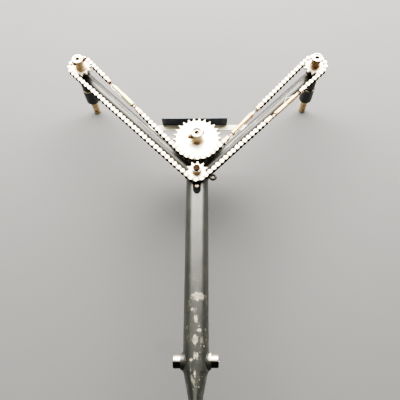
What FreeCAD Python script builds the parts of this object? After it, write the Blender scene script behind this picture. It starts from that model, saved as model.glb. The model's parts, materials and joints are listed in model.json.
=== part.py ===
import FreeCAD, Part
import math
import os

# Control column of a light aircraft, lying on its back as on a bench.
# Millimetres. X runs across, Y runs up the column towards the wheels, Z points up from the bench.
# The origin is the centre of the pivot tube, on the column's axis.

# Roller chain, half inch pitch
PITCH = 12.7
ROLLER_D = 7.77
ROLLER_W = 6.35
PLATE_H = 9.9
PLATE_T = 1.27
PLATE_GAP = 0.06
CHAIN_PIN_D = 3.6
ROLLER_SIDES = 6

# Sprockets
CENTRE_TEETH = 26
TIP_TEETH = 13
IDLER_TEETH = 11
SPROCKET_T = 5.7
TOOTH_CLEARANCE = 0.15
TIP_SHARE = 0.6
TIP_HALF_STEP = 0.075
SEAT_OPEN = 62.0
RUN_CLEARANCE = 0.05
FACE_CLEARANCE = 0.3

# Where the shafts stand
CENTRE_Y = 486.8
IDLER_DROP = 86.0
TIP_X = 297.0
TIP_RISE = 216.0
BENCH_Z = -152.0

# Column, arms and what is welded to them
COLUMN_OD = 50.8
CHAIN_OVER_COLUMN = 10.6
CHAIN_Z = COLUMN_OD / 2 + CHAIN_OVER_COLUMN
COLUMN_WALL = 1.65
COLUMN_ABOVE_MEET = 14.0
COLUMN_CAP_T = 3.0
TAPER_START = -20.0
TAPER_LAP = 4.0
TAPER_STEP = 0.25
TAPER_MID = -70.0
TAPER_MID_HALF_X = 13.6
TAPER_MID_HALF_Z = 26.5
TAPER_END = -112.0
TAPER_END_HALF_X = 7.0
TAPER_END_HALF_Z = 28.5
ARM_OD = 31.75
ARM_WALL = 1.65
HOUSING_OD = 31.75
HOUSING_SLEEVE_OD = 34.9
HOUSING_BORE = 25.4
HOUSING_TOP_GAP = 9.0
HOUSING_STEP_Z = -44.0
HOUSING_FOOT_Z = -97.0
RIM_OD = 37.5
RIM_H = 3.0
CENTRE_HOUSING_OD = 38.1
CENTRE_HOUSING_FOOT_Z = -42.0
GUSSET_T = 5.0
GUSSET_LOW = -66.0
GUSSET_HIGH = 34.0

# Shafts and hubs
SHAFT_D = 19.05
SHAFT_BORE = 9.5
SHAFT_END_D = 18.6
TIP_SHAFT_END = 50.0
CENTRE_SHAFT_END = 35.0
TIP_HUB_OD = 22.4
CENTRE_HUB_OD = 24.8
HUB_COLLAR_OD = 26.6
HUB_COLLAR_H = 2.4
HUB_H = 29.0
HUB_FLARE = 1.5
SHAFT_PROUD = 0.8
CENTRE_SHAFT_FOOT_Z = -82.0
CROSS_HOLE_D = 6.4
CROSS_HOLE_UP = 12.0
BUSHING_FLANGE_OD = 30.0
BUSHING_FLANGE_T = 2.0
BUSHING_LENGTH = 22.0
WASHER_T = 1.2
RING_T = 1.3
RING_OD = 25.0

# Cross bolts through the hubs
BOLT_D = 6.35
BOLT_HEAD_AF = 11.1
BOLT_HEAD_H = 4.0
BOLT_NUT_H = 5.5
BOLT_TAIL = 5.0
BOLT_UP = 18.5
BOLT_TURNS = {"left": 30.0, "right": 48.0, "centre": 204.0}

# Idler
IDLER_HUB_OD = 20.5
IDLER_HUB_UP = 12.0
IDLER_BOLT_D = 9.5
IDLER_HEAD_AF = 14.3
IDLER_HEAD_H = 4.6
IDLER_BOSS_OD = 20.0
BRACKET_T = 3.0
BRACKET_W = 17.0
BRACKET_FOOT = 48.5
BRACKET_SCREW_DROP = 33.0
SCREW_D = 5.0
SCREW_HEAD_D = 10.0
SCREW_HEAD_H = 3.2
SCREW_DEPTH = 8.0

# Cross brace and the black upright plate on it
BRACE_Y = 46.0
BRACE_W = 15.0
BRACE_T = 3.0
BRACE_LIP = 14.0
PLATE_LEFT = -86.0
PLATE_RIGHT = 72.0
PLATE_TOP_Z = 31.7
PLATE_FOOT_Z = -11.0
PLATE_SHEET = 2.5
PLATE_CORNER = 3.0
PLATE_BOLTS = (-66.0, -7.0, 52.0)
PLATE_BOLT_D = 5.0
PLATE_BOLT_Z = -5.0

# Ring lug below the right arm
LUG_OUT = 11.0
LUG_RISE = 4.0
LUG_OD = 16.5
LUG_HOLE = 8.0
LUG_T = 4.0
LUG_SHANK = 9.0

# Pivot and elevator lever
PIVOT_OD = 25.4
PIVOT_BORE = 12.7
PIVOT_LENGTH = 89.0
PIVOT_CHAMFER = 1.5
BOSS_OD = 31.0
BOSS_LENGTH = 60.0
LEVER_T = 6.35
LEVER_RIDGE = 1.6
LEVER_ROOT_Y = -46.0
LEVER_EYE_Y = -172.0
LEVER_EYE_R = 20.0
LEVER_BUSH_OD = 16.0
LEVER_BUSH_T = 12.0
LEVER_HOLE = 9.6

# Turnbuckles
TURNBUCKLE_NEAR = 142.0
BARREL_LENGTH = 78.0
BARREL_D = 11.6
BARREL_END_D = 8.8
BARREL_NECK = 8.0
BARREL_CHAMFER = 1.0
BARREL_GROOVE_D = 10.0
BARREL_GROOVE_AT = 4.0
BARREL_GROOVE_W = 1.4
BARREL_HOLE = 2.4
ROD_ENTRY = 12.0
ROD_D = 5.4
FORK_LENGTH = 15.0
FORK_H = 9.0
FORK_NECK_H = 6.4
EAR_T = 1.9
EAR_GAP = 0.15
FORK_BASE = 6.0
FORK_PIN_HEAD_D = 5.6
FORK_PIN_HEAD_H = 1.0
UPPER_RIGHT_START = 33.0
LOWER_RIGHT_GAP = 65.0
UPPER_LEFT_GAP = 72.0
GROOVED_ENDS = {"upper_left": -1, "upper_right": 1, "lower_right": -1}

IDLER_Y = CENTRE_Y - IDLER_DROP
TIP_Y = CENTRE_Y + TIP_RISE
SHAFT_TOP = CHAIN_Z + SPROCKET_T / 2 + HUB_H
HUB_ODS = {"left": TIP_HUB_OD, "right": TIP_HUB_OD, "centre": CENTRE_HUB_OD}
SHAFT_ENDS = {"left": TIP_SHAFT_END, "right": TIP_SHAFT_END, "centre": CENTRE_SHAFT_END}
LUG_X = COLUMN_OD / 2 + LUG_OUT
CENTRES = {
    "left": (-TIP_X, TIP_Y),
    "right": (TIP_X, TIP_Y),
    "centre": (0.0, CENTRE_Y),
    "idler": (0.0, IDLER_Y),
}
TEETH = {"left": TIP_TEETH, "right": TIP_TEETH, "centre": CENTRE_TEETH, "idler": IDLER_TEETH}


def vec(x, y, z=0.0):
    return FreeCAD.Vector(x, y, z)


def rod(diameter, start, end):
    """A round bar from one point to another."""
    along = end - start
    return Part.makeCylinder(diameter / 2, along.Length, start, along)


def post(diameter, x, y, low, high):
    """A round bar that stands upright."""
    return rod(diameter, vec(x, y, low), vec(x, y, high))


def ring(outer, inner, x, y, low, high):
    """An upright tube."""
    return post(outer, x, y, low, high).cut(post(inner, x, y, low - 1, high + 1))


def prism(points, low, high):
    """An upright prism on a closed outline of (x, y) points."""
    corners = [vec(x, y, low) for x, y in points]
    face = Part.Face(Part.makePolygon(corners + corners[:1]))
    return face.extrude(vec(0, 0, high - low))


def regular(sides, radius, x, y, turn=0.0):
    """The corners of a regular outline."""
    angles = [turn + k * 2 * math.pi / sides for k in range(sides)]
    return [(x + radius * math.cos(a), y + radius * math.sin(a)) for a in angles]


def box(x0, y0, z0, x1, y1, z1):
    """A block between two corners."""
    return Part.makeBox(x1 - x0, y1 - y0, z1 - z0, vec(x0, y0, z0))


def save(name, shapes):
    """Write one piece, or a group of like pieces, to its own file."""
    solids = [solid for shape in shapes for solid in shape.Solids]
    whole = solids[0] if len(solids) == 1 else Part.makeCompound(solids)
    whole.exportStep("parts/" + name + ".step")


# The chain's path
# It runs from the left tip down to the idler, up to the right tip, down under the centre sprocket
# and back up to the left tip. Along it, lengths count in pitches, which are teeth or links.

def pitch_radius(teeth):
    return PITCH / (2 * math.sin(math.pi / teeth))


def tip_radius(teeth):
    return PITCH * (TIP_SHARE + 1 / math.tan(math.pi / teeth)) / 2


def tangent(a, b):
    """The straight run from sprocket a to sprocket b, each given as (name, side)."""
    (name_a, side_a), (name_b, side_b) = a, b
    ax, ay = CENTRES[name_a]
    bx, by = CENTRES[name_b]
    ra = side_a * pitch_radius(TEETH[name_a])
    rb = side_b * pitch_radius(TEETH[name_b])
    span = math.hypot(bx - ax, by - ay)
    normal = math.atan2(by - ay, bx - ax) - math.acos((ra - rb) / span)
    nx, ny = math.cos(normal), math.sin(normal)
    return (ax + ra * nx, ay + ra * ny), (bx + rb * nx, by + rb * ny)


def chain_path():
    """The loop as a list of runs and arcs with their lengths in pitches."""
    order = [("left", 1), ("idler", 1), ("right", 1), ("centre", -1)]
    path = []
    for k, here in enumerate(order):
        following = order[(k + 1) % len(order)]
        after = order[(k + 2) % len(order)]
        start, end = tangent(here, following)
        length = math.hypot(end[0] - start[0], end[1] - start[1]) / PITCH
        path.append({"kind": "run", "from": start, "to": end, "length": length})
        leave, _ = tangent(following, after)
        name, side = following
        cx, cy = CENTRES[name]
        first = math.atan2(end[1] - cy, end[0] - cx)
        last = math.atan2(leave[1] - cy, leave[0] - cx)
        turn = (side * (last - first)) % (2 * math.pi)
        path.append({"kind": "arc", "name": name, "side": side, "first": first,
                     "length": turn * TEETH[name] / (2 * math.pi)})
    return path


PATH = chain_path()
LOOP = sum(piece["length"] for piece in PATH)


def along(distance):
    """The point of the loop at a distance in pitches, and the direction there."""
    left = distance % LOOP
    for piece in PATH:
        if left <= piece["length"]:
            break
        left -= piece["length"]
    if piece["kind"] == "run":
        (ax, ay), (bx, by) = piece["from"], piece["to"]
        share = left / piece["length"]
        heading = math.atan2(by - ay, bx - ax)
        return ax + (bx - ax) * share, ay + (by - ay) * share, heading
    cx, cy = CENTRES[piece["name"]]
    teeth = TEETH[piece["name"]]
    radius = pitch_radius(teeth)
    angle = piece["first"] + piece["side"] * left * 2 * math.pi / teeth
    return cx + radius * math.cos(angle), cy + radius * math.sin(angle), angle + piece["side"] * math.pi / 2


def start_of(index):
    """How far along the loop a run or an arc begins."""
    return sum(piece["length"] for piece in PATH[:index])


# Path pieces in order: 0 lower left run, 1 idler, 2 lower right run, 3 right tip,
# 4 upper right run, 5 centre sprocket, 6 upper left run, 7 left tip.

def odd_near(value):
    """The odd whole number nearest to a value, because a chain with both ends inner has odd links."""
    return 2 * round((value - 1) / 2) + 1


def lay_out():
    """Where the three turnbuckles and the three lengths of chain lie along the loop."""
    links = odd_near(LOOP - 3 * TURNBUCKLE_NEAR / PITCH)
    span = (LOOP - links) / 3
    upper_right = start_of(5) - UPPER_RIGHT_START / PITCH - span
    right_links = odd_near(upper_right - (start_of(3) - LOWER_RIGHT_GAP / PITCH))
    lower_right = upper_right - right_links - span
    left_links = odd_near(lower_right + LOOP - (start_of(7) - UPPER_LEFT_GAP / PITCH))
    upper_left = lower_right + LOOP - left_links - span
    return {
        "span": span,
        "turnbuckles": {"upper_left": upper_left, "upper_right": upper_right, "lower_right": lower_right},
        "chains": {
            "left_chain": (upper_left + span, left_links),
            "right_chain": (lower_right + span, right_links),
            "centre_chain": (upper_right + span, links - left_links - right_links),
        },
    }


LAYOUT = lay_out()


# Sprockets

def tooth_gaps(name):
    """The angle of the first gap of a sprocket that the chain lies in."""
    index = {"idler": 1, "right": 3, "centre": 5, "left": 7}[name]
    chain = {"idler": "left_chain", "left": "left_chain"}.get(name, name + "_chain")
    first_pin, _ = LAYOUT["chains"][chain]
    if first_pin > start_of(index):
        first_pin -= LOOP
    arc = PATH[index]
    offset = math.ceil(start_of(index) - first_pin) + first_pin - start_of(index)
    return arc["first"] + arc["side"] * offset * 2 * math.pi / TEETH[name]


def sprocket_plate(name, bore):
    """The toothed plate: round seats for the rollers with straight flanks up to narrow tips."""
    teeth = TEETH[name]
    cx, cy = CENTRES[name]
    pitch_r = pitch_radius(teeth)
    tip_r = tip_radius(teeth)
    seat_r = ROLLER_D / 2 + TOOTH_CLEARANCE
    step = 2 * math.pi / teeth
    seat_open = math.radians(SEAT_OPEN)
    tip_half = TIP_HALF_STEP * step
    low = CHAIN_Z - SPROCKET_T / 2
    edges = []
    last = None
    first = None
    for k in range(teeth):
        gap = tooth_gaps(name) + k * step
        sx, sy = cx + pitch_r * math.cos(gap), cy + pitch_r * math.sin(gap)
        inward = gap + math.pi
        seat = [vec(sx + seat_r * math.cos(inward + a), sy + seat_r * math.sin(inward + a), low)
                for a in (seat_open, 0.0, -seat_open)]
        tip_angles = (gap + step / 2 - tip_half, gap + step / 2 + tip_half)
        tips = [vec(cx + tip_r * math.cos(a), cy + tip_r * math.sin(a), low) for a in tip_angles]
        seat = sorted(seat, key=lambda p: math.remainder(math.atan2(p.y - cy, p.x - cx) - gap, 2 * math.pi))
        if last is not None:
            edges.append(Part.makeLine(last, seat[0]))
        else:
            first = seat[0]
        edges.append(Part.Arc(seat[0], seat[1], seat[2]).toShape())
        edges.append(Part.makeLine(seat[2], tips[0]))
        edges.append(Part.makeLine(tips[0], tips[1]))
        last = tips[1]
    edges.append(Part.makeLine(last, first))
    plate = Part.Face(Part.Wire(edges)).extrude(vec(0, 0, SPROCKET_T))
    return plate.cut(post(bore, cx, cy, low - 1, low + SPROCKET_T + 1))


def cross_bolt_axis(side):
    """The middle and the direction of the bolt through a hub."""
    cx, cy = CENTRES[side]
    turn = math.radians(BOLT_TURNS[side])
    return vec(cx, cy, CHAIN_Z + SPROCKET_T / 2 + BOLT_UP), vec(math.cos(turn), math.sin(turn), 0)


def bolt_hole(side):
    middle, way = cross_bolt_axis(side)
    return rod(BOLT_D + 2 * RUN_CLEARANCE, middle - way * HUB_COLLAR_OD, middle + way * HUB_COLLAR_OD)


def hexagon_bar(across_flats, start, way, length):
    """A six-sided bar, such as a bolt head."""
    side_way = way.cross(vec(0, 0, 1)).normalize()
    up = vec(0, 0, 1)
    radius = across_flats / math.sqrt(3)
    corners = []
    for k in range(6):
        angle = k * math.pi / 3
        corners.append(start + side_way * (radius * math.cos(angle)) + up * (radius * math.sin(angle)))
    face = Part.Face(Part.makePolygon(corners + corners[:1]))
    return face.extrude(way * length)


def hub(side):
    """The tall sleeve that the sprocket is welded to, with a flare at its foot and a collar at its top."""
    cx, cy = CENTRES[side]
    low = CHAIN_Z + SPROCKET_T / 2
    radius = HUB_ODS[side] / 2
    sleeve = post(HUB_ODS[side], cx, cy, low, low + HUB_H)
    flare = Part.makeCone(radius + HUB_FLARE, radius, HUB_FLARE, vec(cx, cy, low))
    collar = post(HUB_COLLAR_OD, cx, cy, low + HUB_H - HUB_COLLAR_H, low + HUB_H)
    body = sleeve.fuse([flare, collar]).cut(post(SHAFT_D, cx, cy, low - 1, low + HUB_H + 1))
    return body.cut(bolt_hole(side))


def cross_bolt(side):
    """A hexagon bolt through the hub and the shaft, with its nut, as one seated pair."""
    middle, way = cross_bolt_axis(side)
    half = HUB_ODS[side] / 2
    shank = rod(BOLT_D, middle - way * half, middle + way * (half + BOLT_NUT_H + BOLT_TAIL))
    head = hexagon_bar(BOLT_HEAD_AF, middle - way * (half + BOLT_HEAD_H), way, BOLT_HEAD_H)
    nut = hexagon_bar(BOLT_HEAD_AF, middle + way * half, way, BOLT_NUT_H)
    return shank.fuse([head, nut]).removeSplitter()


def shaft(side, foot):
    """A hollow shaft, turned down at the foot and drilled for its hub and for the joint it drives."""
    cx, cy = CENTRES[side]
    step = foot + SHAFT_ENDS[side]
    bar = post(SHAFT_D, cx, cy, step, SHAFT_TOP + SHAFT_PROUD).fuse(post(SHAFT_END_D, cx, cy, foot, step))
    bar = bar.cut(post(SHAFT_BORE, cx, cy, foot - 1, SHAFT_TOP + SHAFT_PROUD + 1))
    hole_z = foot + CROSS_HOLE_UP
    hole = rod(CROSS_HOLE_D, vec(cx, cy - SHAFT_D, hole_z), vec(cx, cy + SHAFT_D, hole_z))
    return bar.cut([bolt_hole(side), hole])


def retaining_ring(side, top):
    """The ring under the lower bushing, seated in the shaft's groove, as a plain split ring."""
    cx, cy = CENTRES[side]
    band = ring(RING_OD, SHAFT_D, cx, cy, top - RING_T, top)
    gap = box(cx - 2, cy, top - RING_T - 1, cx + 2, cy + RING_OD, top + 1)
    return band.cut(gap)


# Frame

def arm_axis(side):
    """The start and the end of an arm's axis."""
    cx, cy = CENTRES[side]
    return vec(0, IDLER_Y, 0), vec(cx, cy, 0)


def arm(side):
    """One arm of the fork, shaped at its foot to the column and at its end to the bearing housing."""
    foot, end = arm_axis(side)
    cx, cy = CENTRES[side]
    tube = rod(ARM_OD, foot, end).cut(rod(ARM_OD - 2 * ARM_WALL, foot, end))
    over = -math.copysign(ARM_OD, cx)
    other_side = box(min(0, over), IDLER_Y - ARM_OD, -ARM_OD, max(0, over), IDLER_Y + 2 * ARM_OD, ARM_OD)
    return tube.cut([post(HOUSING_OD, cx, cy, -ARM_OD, ARM_OD), column_outside(), other_side])


def oval_wire(half_x, half_z, y):
    """An upright oval across the column, taller than it is wide."""
    return Part.Wire(Part.Ellipse(vec(0, y, half_z), vec(half_x, y, 0), vec(0, y, 0)).toShape())


def taper(inset):
    """The lower end of the column, pressed in from the sides, less a wall. It laps into the round tube."""
    round_half = COLUMN_OD / 2 - TAPER_STEP
    sections = [
        (round_half - TAPER_STEP / 2, round_half, TAPER_START + TAPER_LAP),
        (TAPER_MID_HALF_X, TAPER_MID_HALF_Z, TAPER_MID),
        (TAPER_END_HALF_X, TAPER_END_HALF_Z, TAPER_END - inset),
    ]
    wires = [oval_wire(x - inset, z - inset, y) for x, z, y in sections]
    return Part.makeLoft(wires, True, False)


def column_outside():
    """The column as a solid bar, up to its cap."""
    top = IDLER_Y + COLUMN_ABOVE_MEET
    return rod(COLUMN_OD, vec(0, TAPER_START, 0), vec(0, top, 0))


def lever():
    """The elevator lever: a plate let into the pressed end, which turns down to its eye."""
    eye_z = BENCH_Z + LEVER_EYE_R
    top_z = TAPER_END_HALF_Z + LEVER_RIDGE
    eye = vec(0, LEVER_EYE_Y, eye_z)
    lead = math.radians(22)
    outer = eye + vec(0, -math.cos(lead), math.sin(lead)) * LEVER_EYE_R
    inner = eye + vec(0, math.cos(lead), -math.sin(lead)) * LEVER_EYE_R
    low = eye + vec(0, -math.sin(lead), -math.cos(lead)) * LEVER_EYE_R
    a = vec(0, LEVER_ROOT_Y, COLUMN_OD / 2 + LEVER_RIDGE / 2)
    b = vec(0, TAPER_END, top_z)
    b_turn = vec(0, TAPER_END - 14, top_z - 3)
    b_end = vec(0, TAPER_END - 22, top_z - 16)
    c_start = vec(0, TAPER_END - 4, -TAPER_END_HALF_Z - 20)
    c_turn = vec(0, TAPER_END + 4, -TAPER_END_HALF_Z - 6)
    c_end = vec(0, TAPER_END + 20, -TAPER_END_HALF_Z - LEVER_RIDGE)
    d = vec(0, LEVER_ROOT_Y, -COLUMN_OD / 2 - LEVER_RIDGE / 2)
    edges = [
        Part.makeLine(a, b),
        Part.Arc(b, b_turn, b_end).toShape(),
        Part.makeLine(b_end, outer),
        Part.Arc(outer, low, inner).toShape(),
        Part.makeLine(inner, c_start),
        Part.Arc(c_start, c_turn, c_end).toShape(),
        Part.makeLine(c_end, d),
        Part.makeLine(d, a),
    ]
    face = Part.Face(Part.Wire(edges))
    face.translate(vec(-LEVER_T / 2, 0, 0))
    plate = face.extrude(vec(LEVER_T, 0, 0))
    return plate.cut(rod(LEVER_BUSH_OD, eye - vec(LEVER_T, 0, 0), eye + vec(LEVER_T, 0, 0)))


def lever_bushing():
    eye = vec(0, LEVER_EYE_Y, BENCH_Z + LEVER_EYE_R)
    half = vec(LEVER_BUSH_T / 2, 0, 0)
    return rod(LEVER_BUSH_OD, eye - half, eye + half).cut(rod(LEVER_HOLE, eye - half * 2, eye + half * 2))


def column():
    """The main tube with its pressed lower end, slit for the lever and drilled for the pivot boss."""
    top = IDLER_Y + COLUMN_ABOVE_MEET
    inner = rod(COLUMN_OD - 2 * COLUMN_WALL, vec(0, TAPER_START, 0), vec(0, top - COLUMN_CAP_T, 0))
    body = column_outside().fuse(taper(0.0)).cut([inner, taper(COLUMN_WALL)])
    boss = rod(BOSS_OD, vec(-COLUMN_OD, 0, 0), vec(COLUMN_OD, 0, 0))
    body = body.cut([boss, lever(), idler_boss_hole(), bracket_screw_hole()])
    return max(body.Solids, key=lambda solid: solid.Volume)


def pivot_boss():
    half = vec(BOSS_LENGTH / 2, 0, 0)
    bore = PIVOT_OD + 2 * RUN_CLEARANCE
    return rod(BOSS_OD, -half, half).cut(rod(bore, -half * 2, half * 2))


def pivot_tube():
    half = vec(PIVOT_LENGTH / 2, 0, 0)
    tube = rod(PIVOT_OD, -half, half).cut(rod(PIVOT_BORE, -half * 2, half * 2))
    rims = [e for e in tube.Edges if abs(abs(e.CenterOfMass.x) - half.x) < 1e-6 and e.Length > 3 * PIVOT_OD]
    return tube.makeChamfer(PIVOT_CHAMFER, rims)


def housing(side):
    """A tip bearing housing: a tube through the arm's end, with a rim and a thicker lower sleeve."""
    cx, cy = CENTRES[side]
    top = CHAIN_Z - HOUSING_TOP_GAP
    upper = post(HOUSING_OD, cx, cy, HOUSING_STEP_Z, top)
    rim = post(RIM_OD, cx, cy, HOUSING_STEP_Z - RIM_H, HOUSING_STEP_Z)
    lower = post(HOUSING_SLEEVE_OD, cx, cy, HOUSING_FOOT_Z, HOUSING_STEP_Z - RIM_H)
    bore = post(HOUSING_BORE, cx, cy, HOUSING_FOOT_Z - 1, top + 1)
    return upper.fuse([rim, lower]).cut(bore)


def centre_housing():
    cx, cy = CENTRES["centre"]
    top = CHAIN_Z - HOUSING_TOP_GAP
    return ring(CENTRE_HOUSING_OD, HOUSING_BORE, cx, cy, CENTRE_HOUSING_FOOT_Z, top)


def bushings(side, foot):
    """Two flanged bushings, one in each end of a housing, that the shaft runs in."""
    cx, cy = CENTRES[side]
    top = CHAIN_Z - HOUSING_TOP_GAP
    bore = post(SHAFT_D + 2 * RUN_CLEARANCE, cx, cy, foot - 5, top + 5)
    upper = post(HOUSING_BORE, cx, cy, top - BUSHING_LENGTH, top)
    upper = upper.fuse(post(BUSHING_FLANGE_OD, cx, cy, top, top + BUSHING_FLANGE_T))
    lower = post(HOUSING_BORE, cx, cy, foot, foot + BUSHING_LENGTH)
    lower = lower.fuse(post(BUSHING_FLANGE_OD, cx, cy, foot - BUSHING_FLANGE_T, foot))
    return [upper.cut(bore), lower.cut(bore)]


def thrust_washer(side):
    """The washer that fills the space between the upper bushing and the sprocket."""
    cx, cy = CENTRES[side]
    low = CHAIN_Z - HOUSING_TOP_GAP + BUSHING_FLANGE_T + FACE_CLEARANCE
    high = CHAIN_Z - SPROCKET_T / 2
    return ring(HUB_COLLAR_OD, SHAFT_D, cx, cy, low, high)


def gusset():
    """The flat web between the arms that carries the centre housing."""
    low_y = CENTRE_Y + GUSSET_LOW
    high_y = CENTRE_Y + GUSSET_HIGH
    slope = TIP_X / (TIP_Y - IDLER_Y)
    outline = [(-slope * (low_y - IDLER_Y), low_y), (slope * (low_y - IDLER_Y), low_y),
               (slope * (high_y - IDLER_Y), high_y), (-slope * (high_y - IDLER_Y), high_y)]
    web = prism(outline, -GUSSET_T / 2, GUSSET_T / 2)
    cx, cy = CENTRES["centre"]
    tools = [rod(ARM_OD, *arm_axis("left")), rod(ARM_OD, *arm_axis("right"))]
    tools.append(post(CENTRE_HOUSING_OD, cx, cy, -ARM_OD, ARM_OD))
    web = web.cut(tools)
    return max(web.Solids, key=lambda solid: solid.Volume)


def cross_brace():
    """An angle bar between the arms, shaped to them at both ends."""
    low_y = CENTRE_Y + BRACE_Y
    high_y = low_y + BRACE_W
    top = box(-TIP_X, low_y, 0, TIP_X, high_y, BRACE_T)
    lip = box(-TIP_X, high_y - BRACE_T, BRACE_T - BRACE_LIP, TIP_X, high_y, BRACE_T)
    bar = top.fuse(lip).removeSplitter()
    outer = [rod(ARM_OD, *arm_axis("left")), rod(ARM_OD, *arm_axis("right"))]
    pieces = bar.cut(outer + plate_bolt_holes()).Solids
    return min(pieces, key=lambda solid: abs(solid.CenterOfMass.x))


def plate_bolt_ends():
    face = CENTRE_Y + BRACE_Y + BRACE_W
    near, far = face - BRACE_T, face + PLATE_SHEET
    return [(vec(x, near, PLATE_BOLT_Z), vec(x, far, PLATE_BOLT_Z)) for x in PLATE_BOLTS]


def plate_bolt_holes():
    way = vec(0, 1, 0)
    return [rod(PLATE_BOLT_D, start - way, end + way) for start, end in plate_bolt_ends()]


def bracket_plate():
    """The upright black plate behind the brace."""
    face = CENTRE_Y + BRACE_Y + BRACE_W
    plate = box(PLATE_LEFT, face, PLATE_FOOT_Z, PLATE_RIGHT, face + PLATE_SHEET, PLATE_TOP_Z)
    corners = [e for e in plate.Edges if abs(e.Vertexes[0].Y - e.Vertexes[1].Y) > PLATE_SHEET / 2]
    return plate.makeFillet(PLATE_CORNER, corners).cut(plate_bolt_holes())


def plate_bolts():
    """Short bolts that hold the plate to the brace, with a head in front and a nut behind."""
    way = vec(0, 1, 0)
    made = []
    for start, end in plate_bolt_ends():
        head = rod(PLATE_BOLT_D * 1.8, start - way * 2.5, start)
        nut = rod(PLATE_BOLT_D * 1.8, end, end + way * 4)
        made.append(rod(PLATE_BOLT_D, start, end).fuse([head, nut]))
    return made


# Idler and its bracket

def idler_boss_hole():
    return post(IDLER_BOLT_D, 0, IDLER_Y, 0, COLUMN_OD)


def bracket_screw_hole():
    return post(SCREW_D, 0, IDLER_Y - BRACKET_SCREW_DROP, COLUMN_OD / 2 - SCREW_DEPTH, COLUMN_OD)


def idler_bracket():
    """The strap on the column with a round lower end, and the boss that lifts the idler to the chain."""
    low_y = IDLER_Y - BRACKET_FOOT
    top = COLUMN_OD / 2 + BRACKET_T
    half = BRACKET_W / 2
    strap = box(-half, low_y + half, 0, half, IDLER_Y, top).fuse(post(BRACKET_W, 0, low_y + half, 0, top))
    strap = strap.cut(column_outside())
    boss_top = CHAIN_Z - SPROCKET_T / 2 - FACE_CLEARANCE
    boss = post(IDLER_BOSS_OD, 0, IDLER_Y, 0, boss_top).cut(column_outside())
    body = strap.fuse(boss).cut([idler_boss_hole().fuse(post(IDLER_BOLT_D, 0, IDLER_Y, 0, CHAIN_Z)),
                                 bracket_screw_hole()])
    return max(body.Solids, key=lambda solid: solid.Volume)


def bracket_screw():
    y = IDLER_Y - BRACKET_SCREW_DROP
    top = COLUMN_OD / 2 + BRACKET_T
    head = post(SCREW_HEAD_D, 0, y, top, top + SCREW_HEAD_H)
    rims = [e for e in head.Edges if e.CenterOfMass.z > top + 1 and e.Length > SCREW_HEAD_D]
    head = head.makeChamfer(SCREW_HEAD_H * 0.4, rims[:1])
    return head.fuse(post(SCREW_D, 0, y, COLUMN_OD / 2 - SCREW_DEPTH, top))


def idler_top():
    return CHAIN_Z + SPROCKET_T / 2 + IDLER_HUB_UP


def idler_hub():
    """The bushed hub that the idler sprocket turns on."""
    bore = IDLER_BOLT_D + 2 * RUN_CLEARANCE
    return ring(IDLER_HUB_OD, bore, 0, IDLER_Y, CHAIN_Z - SPROCKET_T / 2, idler_top())


def idler_bolt():
    """The bolt that the idler turns on, from its head down through the boss into the column."""
    top = idler_top() + FACE_CLEARANCE
    shank = post(IDLER_BOLT_D, 0, IDLER_Y, COLUMN_OD / 2 - SCREW_DEPTH, top)
    washer = post(IDLER_HEAD_AF * 1.2, 0, IDLER_Y, top, top + WASHER_T)
    head = prism(regular(6, IDLER_HEAD_AF / math.sqrt(3), 0, IDLER_Y, 0.3), top + WASHER_T,
                 top + WASHER_T + IDLER_HEAD_H)
    return shank.fuse([washer, head])


def ring_lug():
    """A flat eye welded under the right arm."""
    cy = IDLER_Y + LUG_RISE
    eye = post(LUG_OD, LUG_X, cy, -LUG_T / 2, LUG_T / 2)
    foot, end = arm_axis("right")
    way = (end - foot).normalize()
    inward = vec(-way.y, way.x, 0)
    centre = vec(LUG_X, cy, -LUG_T / 2)
    corners = [centre + way * LUG_SHANK / 2, centre + way * LUG_SHANK / 2 + inward * LUG_OD,
               centre - way * LUG_SHANK / 2 + inward * LUG_OD, centre - way * LUG_SHANK / 2]
    shank = Part.Face(Part.makePolygon(corners + corners[:1])).extrude(vec(0, 0, LUG_T))
    hole = post(LUG_HOLE, LUG_X, cy, -LUG_T, LUG_T)
    body = eye.fuse(shank).cut([hole, rod(ARM_OD, foot, end), column_outside()])
    return max(body.Solids, key=lambda solid: solid.Volume)


# Turnbuckles

def place(shape, x, y, heading):
    """Turn a shape that was made along +X about the origin, and set it in the chain's plane."""
    moved = shape.copy()
    moved.rotate(vec(0, 0, 0), vec(0, 0, 1), math.degrees(heading))
    moved.translate(vec(x, y, CHAIN_Z))
    return moved


def turned(profile):
    """A round piece about the X axis, from (x, radius) points."""
    points = [vec(profile[0][0], 0, 0)] + [vec(x, r, 0) for x, r in profile] + [vec(profile[-1][0], 0, 0)]
    face = Part.Face(Part.makePolygon(points + points[:1]))
    return face.revolve(vec(0, 0, 0), vec(1, 0, 0), 360)


def barrel():
    """The brass barrel: tapered at one end, grooved at the other, with a wire hole through its middle."""
    half = BARREL_LENGTH / 2
    full = BARREL_D / 2
    groove = half - BARREL_GROOVE_AT
    floor = BARREL_GROOVE_D / 2
    near = groove - BARREL_GROOVE_W
    profile = [(-half, BARREL_END_D / 2), (-half + BARREL_NECK, full), (near, full), (near, floor),
               (groove, floor), (groove, full), (half - BARREL_CHAMFER, full), (half, full - BARREL_CHAMFER)]
    body = turned(profile)
    body = body.cut(rod(ROD_D, vec(-half - 1, 0, 0), vec(half + 1, 0, 0)))
    return body.cut(Part.makeCylinder(BARREL_HOLE / 2, BARREL_D, vec(0, 0, -BARREL_D / 2)))


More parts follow.
